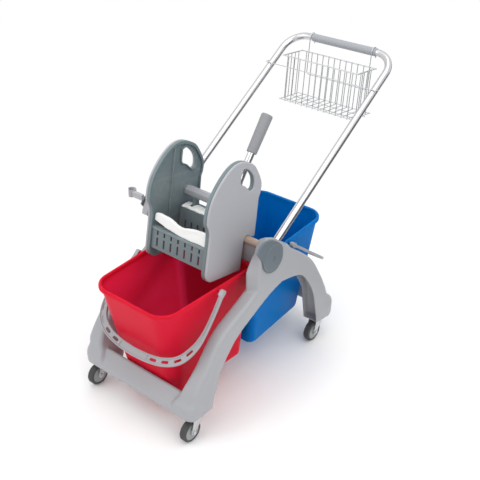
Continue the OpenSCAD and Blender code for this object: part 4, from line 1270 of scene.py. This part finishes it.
def make_world():
    """A white studio: even light, and white where the camera or a reflection looks past the trolley."""
    world = bpy.data.worlds.new("studio")
    world.use_nodes = True
    tree = world.node_tree
    tree.nodes.clear()
    rays = tree.nodes.new("ShaderNodeLightPath").outputs
    seen = math_node(tree, "MAXIMUM", rays["Is Camera Ray"], rays["Is Glossy Ray"])
    seen = math_node(tree, "MAXIMUM", seen, rays["Is Transmission Ray"])
    mixed = tree.nodes.new("ShaderNodeMixShader")
    tree.links.new(seen, mixed.inputs["Fac"])
    for place, strength in ((1, WORLD_LIGHT), (2, 1.0)):
        light = tree.nodes.new("ShaderNodeBackground")
        light.inputs["Color"].default_value = (1.0, 1.0, 1.0, 1.0)
        light.inputs["Strength"].default_value = strength
        tree.links.new(light.outputs[0], mixed.inputs[place])
    out = tree.nodes.new("ShaderNodeOutputWorld")
    tree.links.new(mixed.outputs[0], out.inputs["Surface"])
    bpy.context.scene.world = world


def make_lamp(name, place, target, width, watts):
    """A soft square lamp."""
    data = bpy.data.lights.new(name, "AREA")
    data.shape = "SQUARE"
    data.size = width
    data.energy = watts
    aim(new_object(name, data), place, Vector(target) - Vector(place))


def studio_piece(bm, name, colour, roughness):
    """An object with a plain finish, and that finish's shader tree."""
    mesh = bpy.data.meshes.new(name)
    bm.to_mesh(mesh)
    bm.free()
    material = bpy.data.materials.new("studio_" + name)
    material.use_nodes = True
    shader = material.node_tree.nodes["Principled BSDF"]
    shader.inputs["Base Color"].default_value = colour
    shader.inputs["Roughness"].default_value = roughness
    mesh.materials.append(material)
    return new_object(name, mesh), material.node_tree


def make_floor():
    """A pale floor that shows white and keeps the trolley's shadow."""
    bm = bmesh.new()
    bmesh.ops.create_grid(bm, x_segments=2, y_segments=2, size=FLOOR_HALF)
    floor, tree = studio_piece(bm, "floor", linear("floor"), roughness=0.9)
    floor.location.z = -FLOOR_DROP
    shader = tree.nodes["Principled BSDF"]
    shader.inputs["Specular IOR Level"].default_value = 0.1
    place = tree.nodes.new("ShaderNodeTexCoord")
    reach = tree.nodes.new("ShaderNodeVectorMath")
    reach.operation = "LENGTH"
    tree.links.new(place.outputs["Object"], reach.inputs[0])
    fade = spread(tree, reach.outputs["Value"], 1.0, 0.0, SHADOW_REACH)
    fade.node.interpolation_type = "SMOOTHSTEP"
    tree.links.new(fade, shader.inputs["Alpha"])


def make_card(name, corners, shade):
    """A dark card that only reflections see."""
    bm = bmesh.new()
    bm.faces.new([bm.verts.new(c) for c in corners])
    card = studio_piece(bm, name, (shade, shade, shade, 1.0), roughness=1.0)[0]
    card.visible_camera = False
    card.visible_diffuse = False
    card.visible_shadow = False


class TROLLEY_OT_stage(Operator):
    """Set up the camera, the lamps, the floor and the cards"""

    bl_idname = "trolley.stage"
    bl_label = "Studio"

    def execute(self, context):
        context.scene.view_settings.view_transform = "Standard"
        make_camera()
        make_world()
        make_floor()
        for name, lamp in LAMPS.items():
            make_lamp(name, *lamp)
        for name, card in CARDS.items():
            make_card(name, *card)
        return {"FINISHED"}


class TROLLEY_PT_panel(Panel):
    """Lists the trolley's builders"""

    bl_idname = "TROLLEY_PT_panel"
    bl_label = "Mop bucket trolley"
    bl_space_type = "VIEW_3D"
    bl_region_type = "UI"
    bl_category = "Trolley"

    def draw(self, context):
        settings = context.scene.trolley
        for group in (settings.sizes, settings.colours):
            column = self.layout.column(align=True)
            for key in group.__annotations__:
                column.prop(group, key)
        for builder in BUILDERS:
            self.layout.operator(builder.bl_idname)


BUILDERS = (TROLLEY_OT_stage, TROLLEY_OT_frame, TROLLEY_OT_buckets, TROLLEY_OT_bails, TROLLEY_OT_wringer,
            TROLLEY_OT_handle, TROLLEY_OT_basket, TROLLEY_OT_casters)
CLASSES = (TrolleySizes, TrolleyColours, TrolleySettings) + BUILDERS + (TROLLEY_PT_panel,)


def register():
    """Registers the classes and the scene's settings."""
    for cls in CLASSES:
        bpy.utils.register_class(cls)
    bpy.types.Scene.trolley = PointerProperty(type=TrolleySettings)


def unregister():
    """Removes the settings and the classes."""
    del bpy.types.Scene.trolley
    for cls in reversed(CLASSES):
        bpy.utils.unregister_class(cls)


def main():
    """Builds the trolley and its studio."""
    register()
    bpy.ops.trolley.stage()
    bpy.ops.trolley.frame()
    bpy.ops.trolley.buckets()
    bpy.ops.trolley.bails()
    bpy.ops.trolley.wringer()
    bpy.ops.trolley.handle()
    bpy.ops.trolley.basket()
    bpy.ops.trolley.casters()


if __name__ == "__main__":
    main()
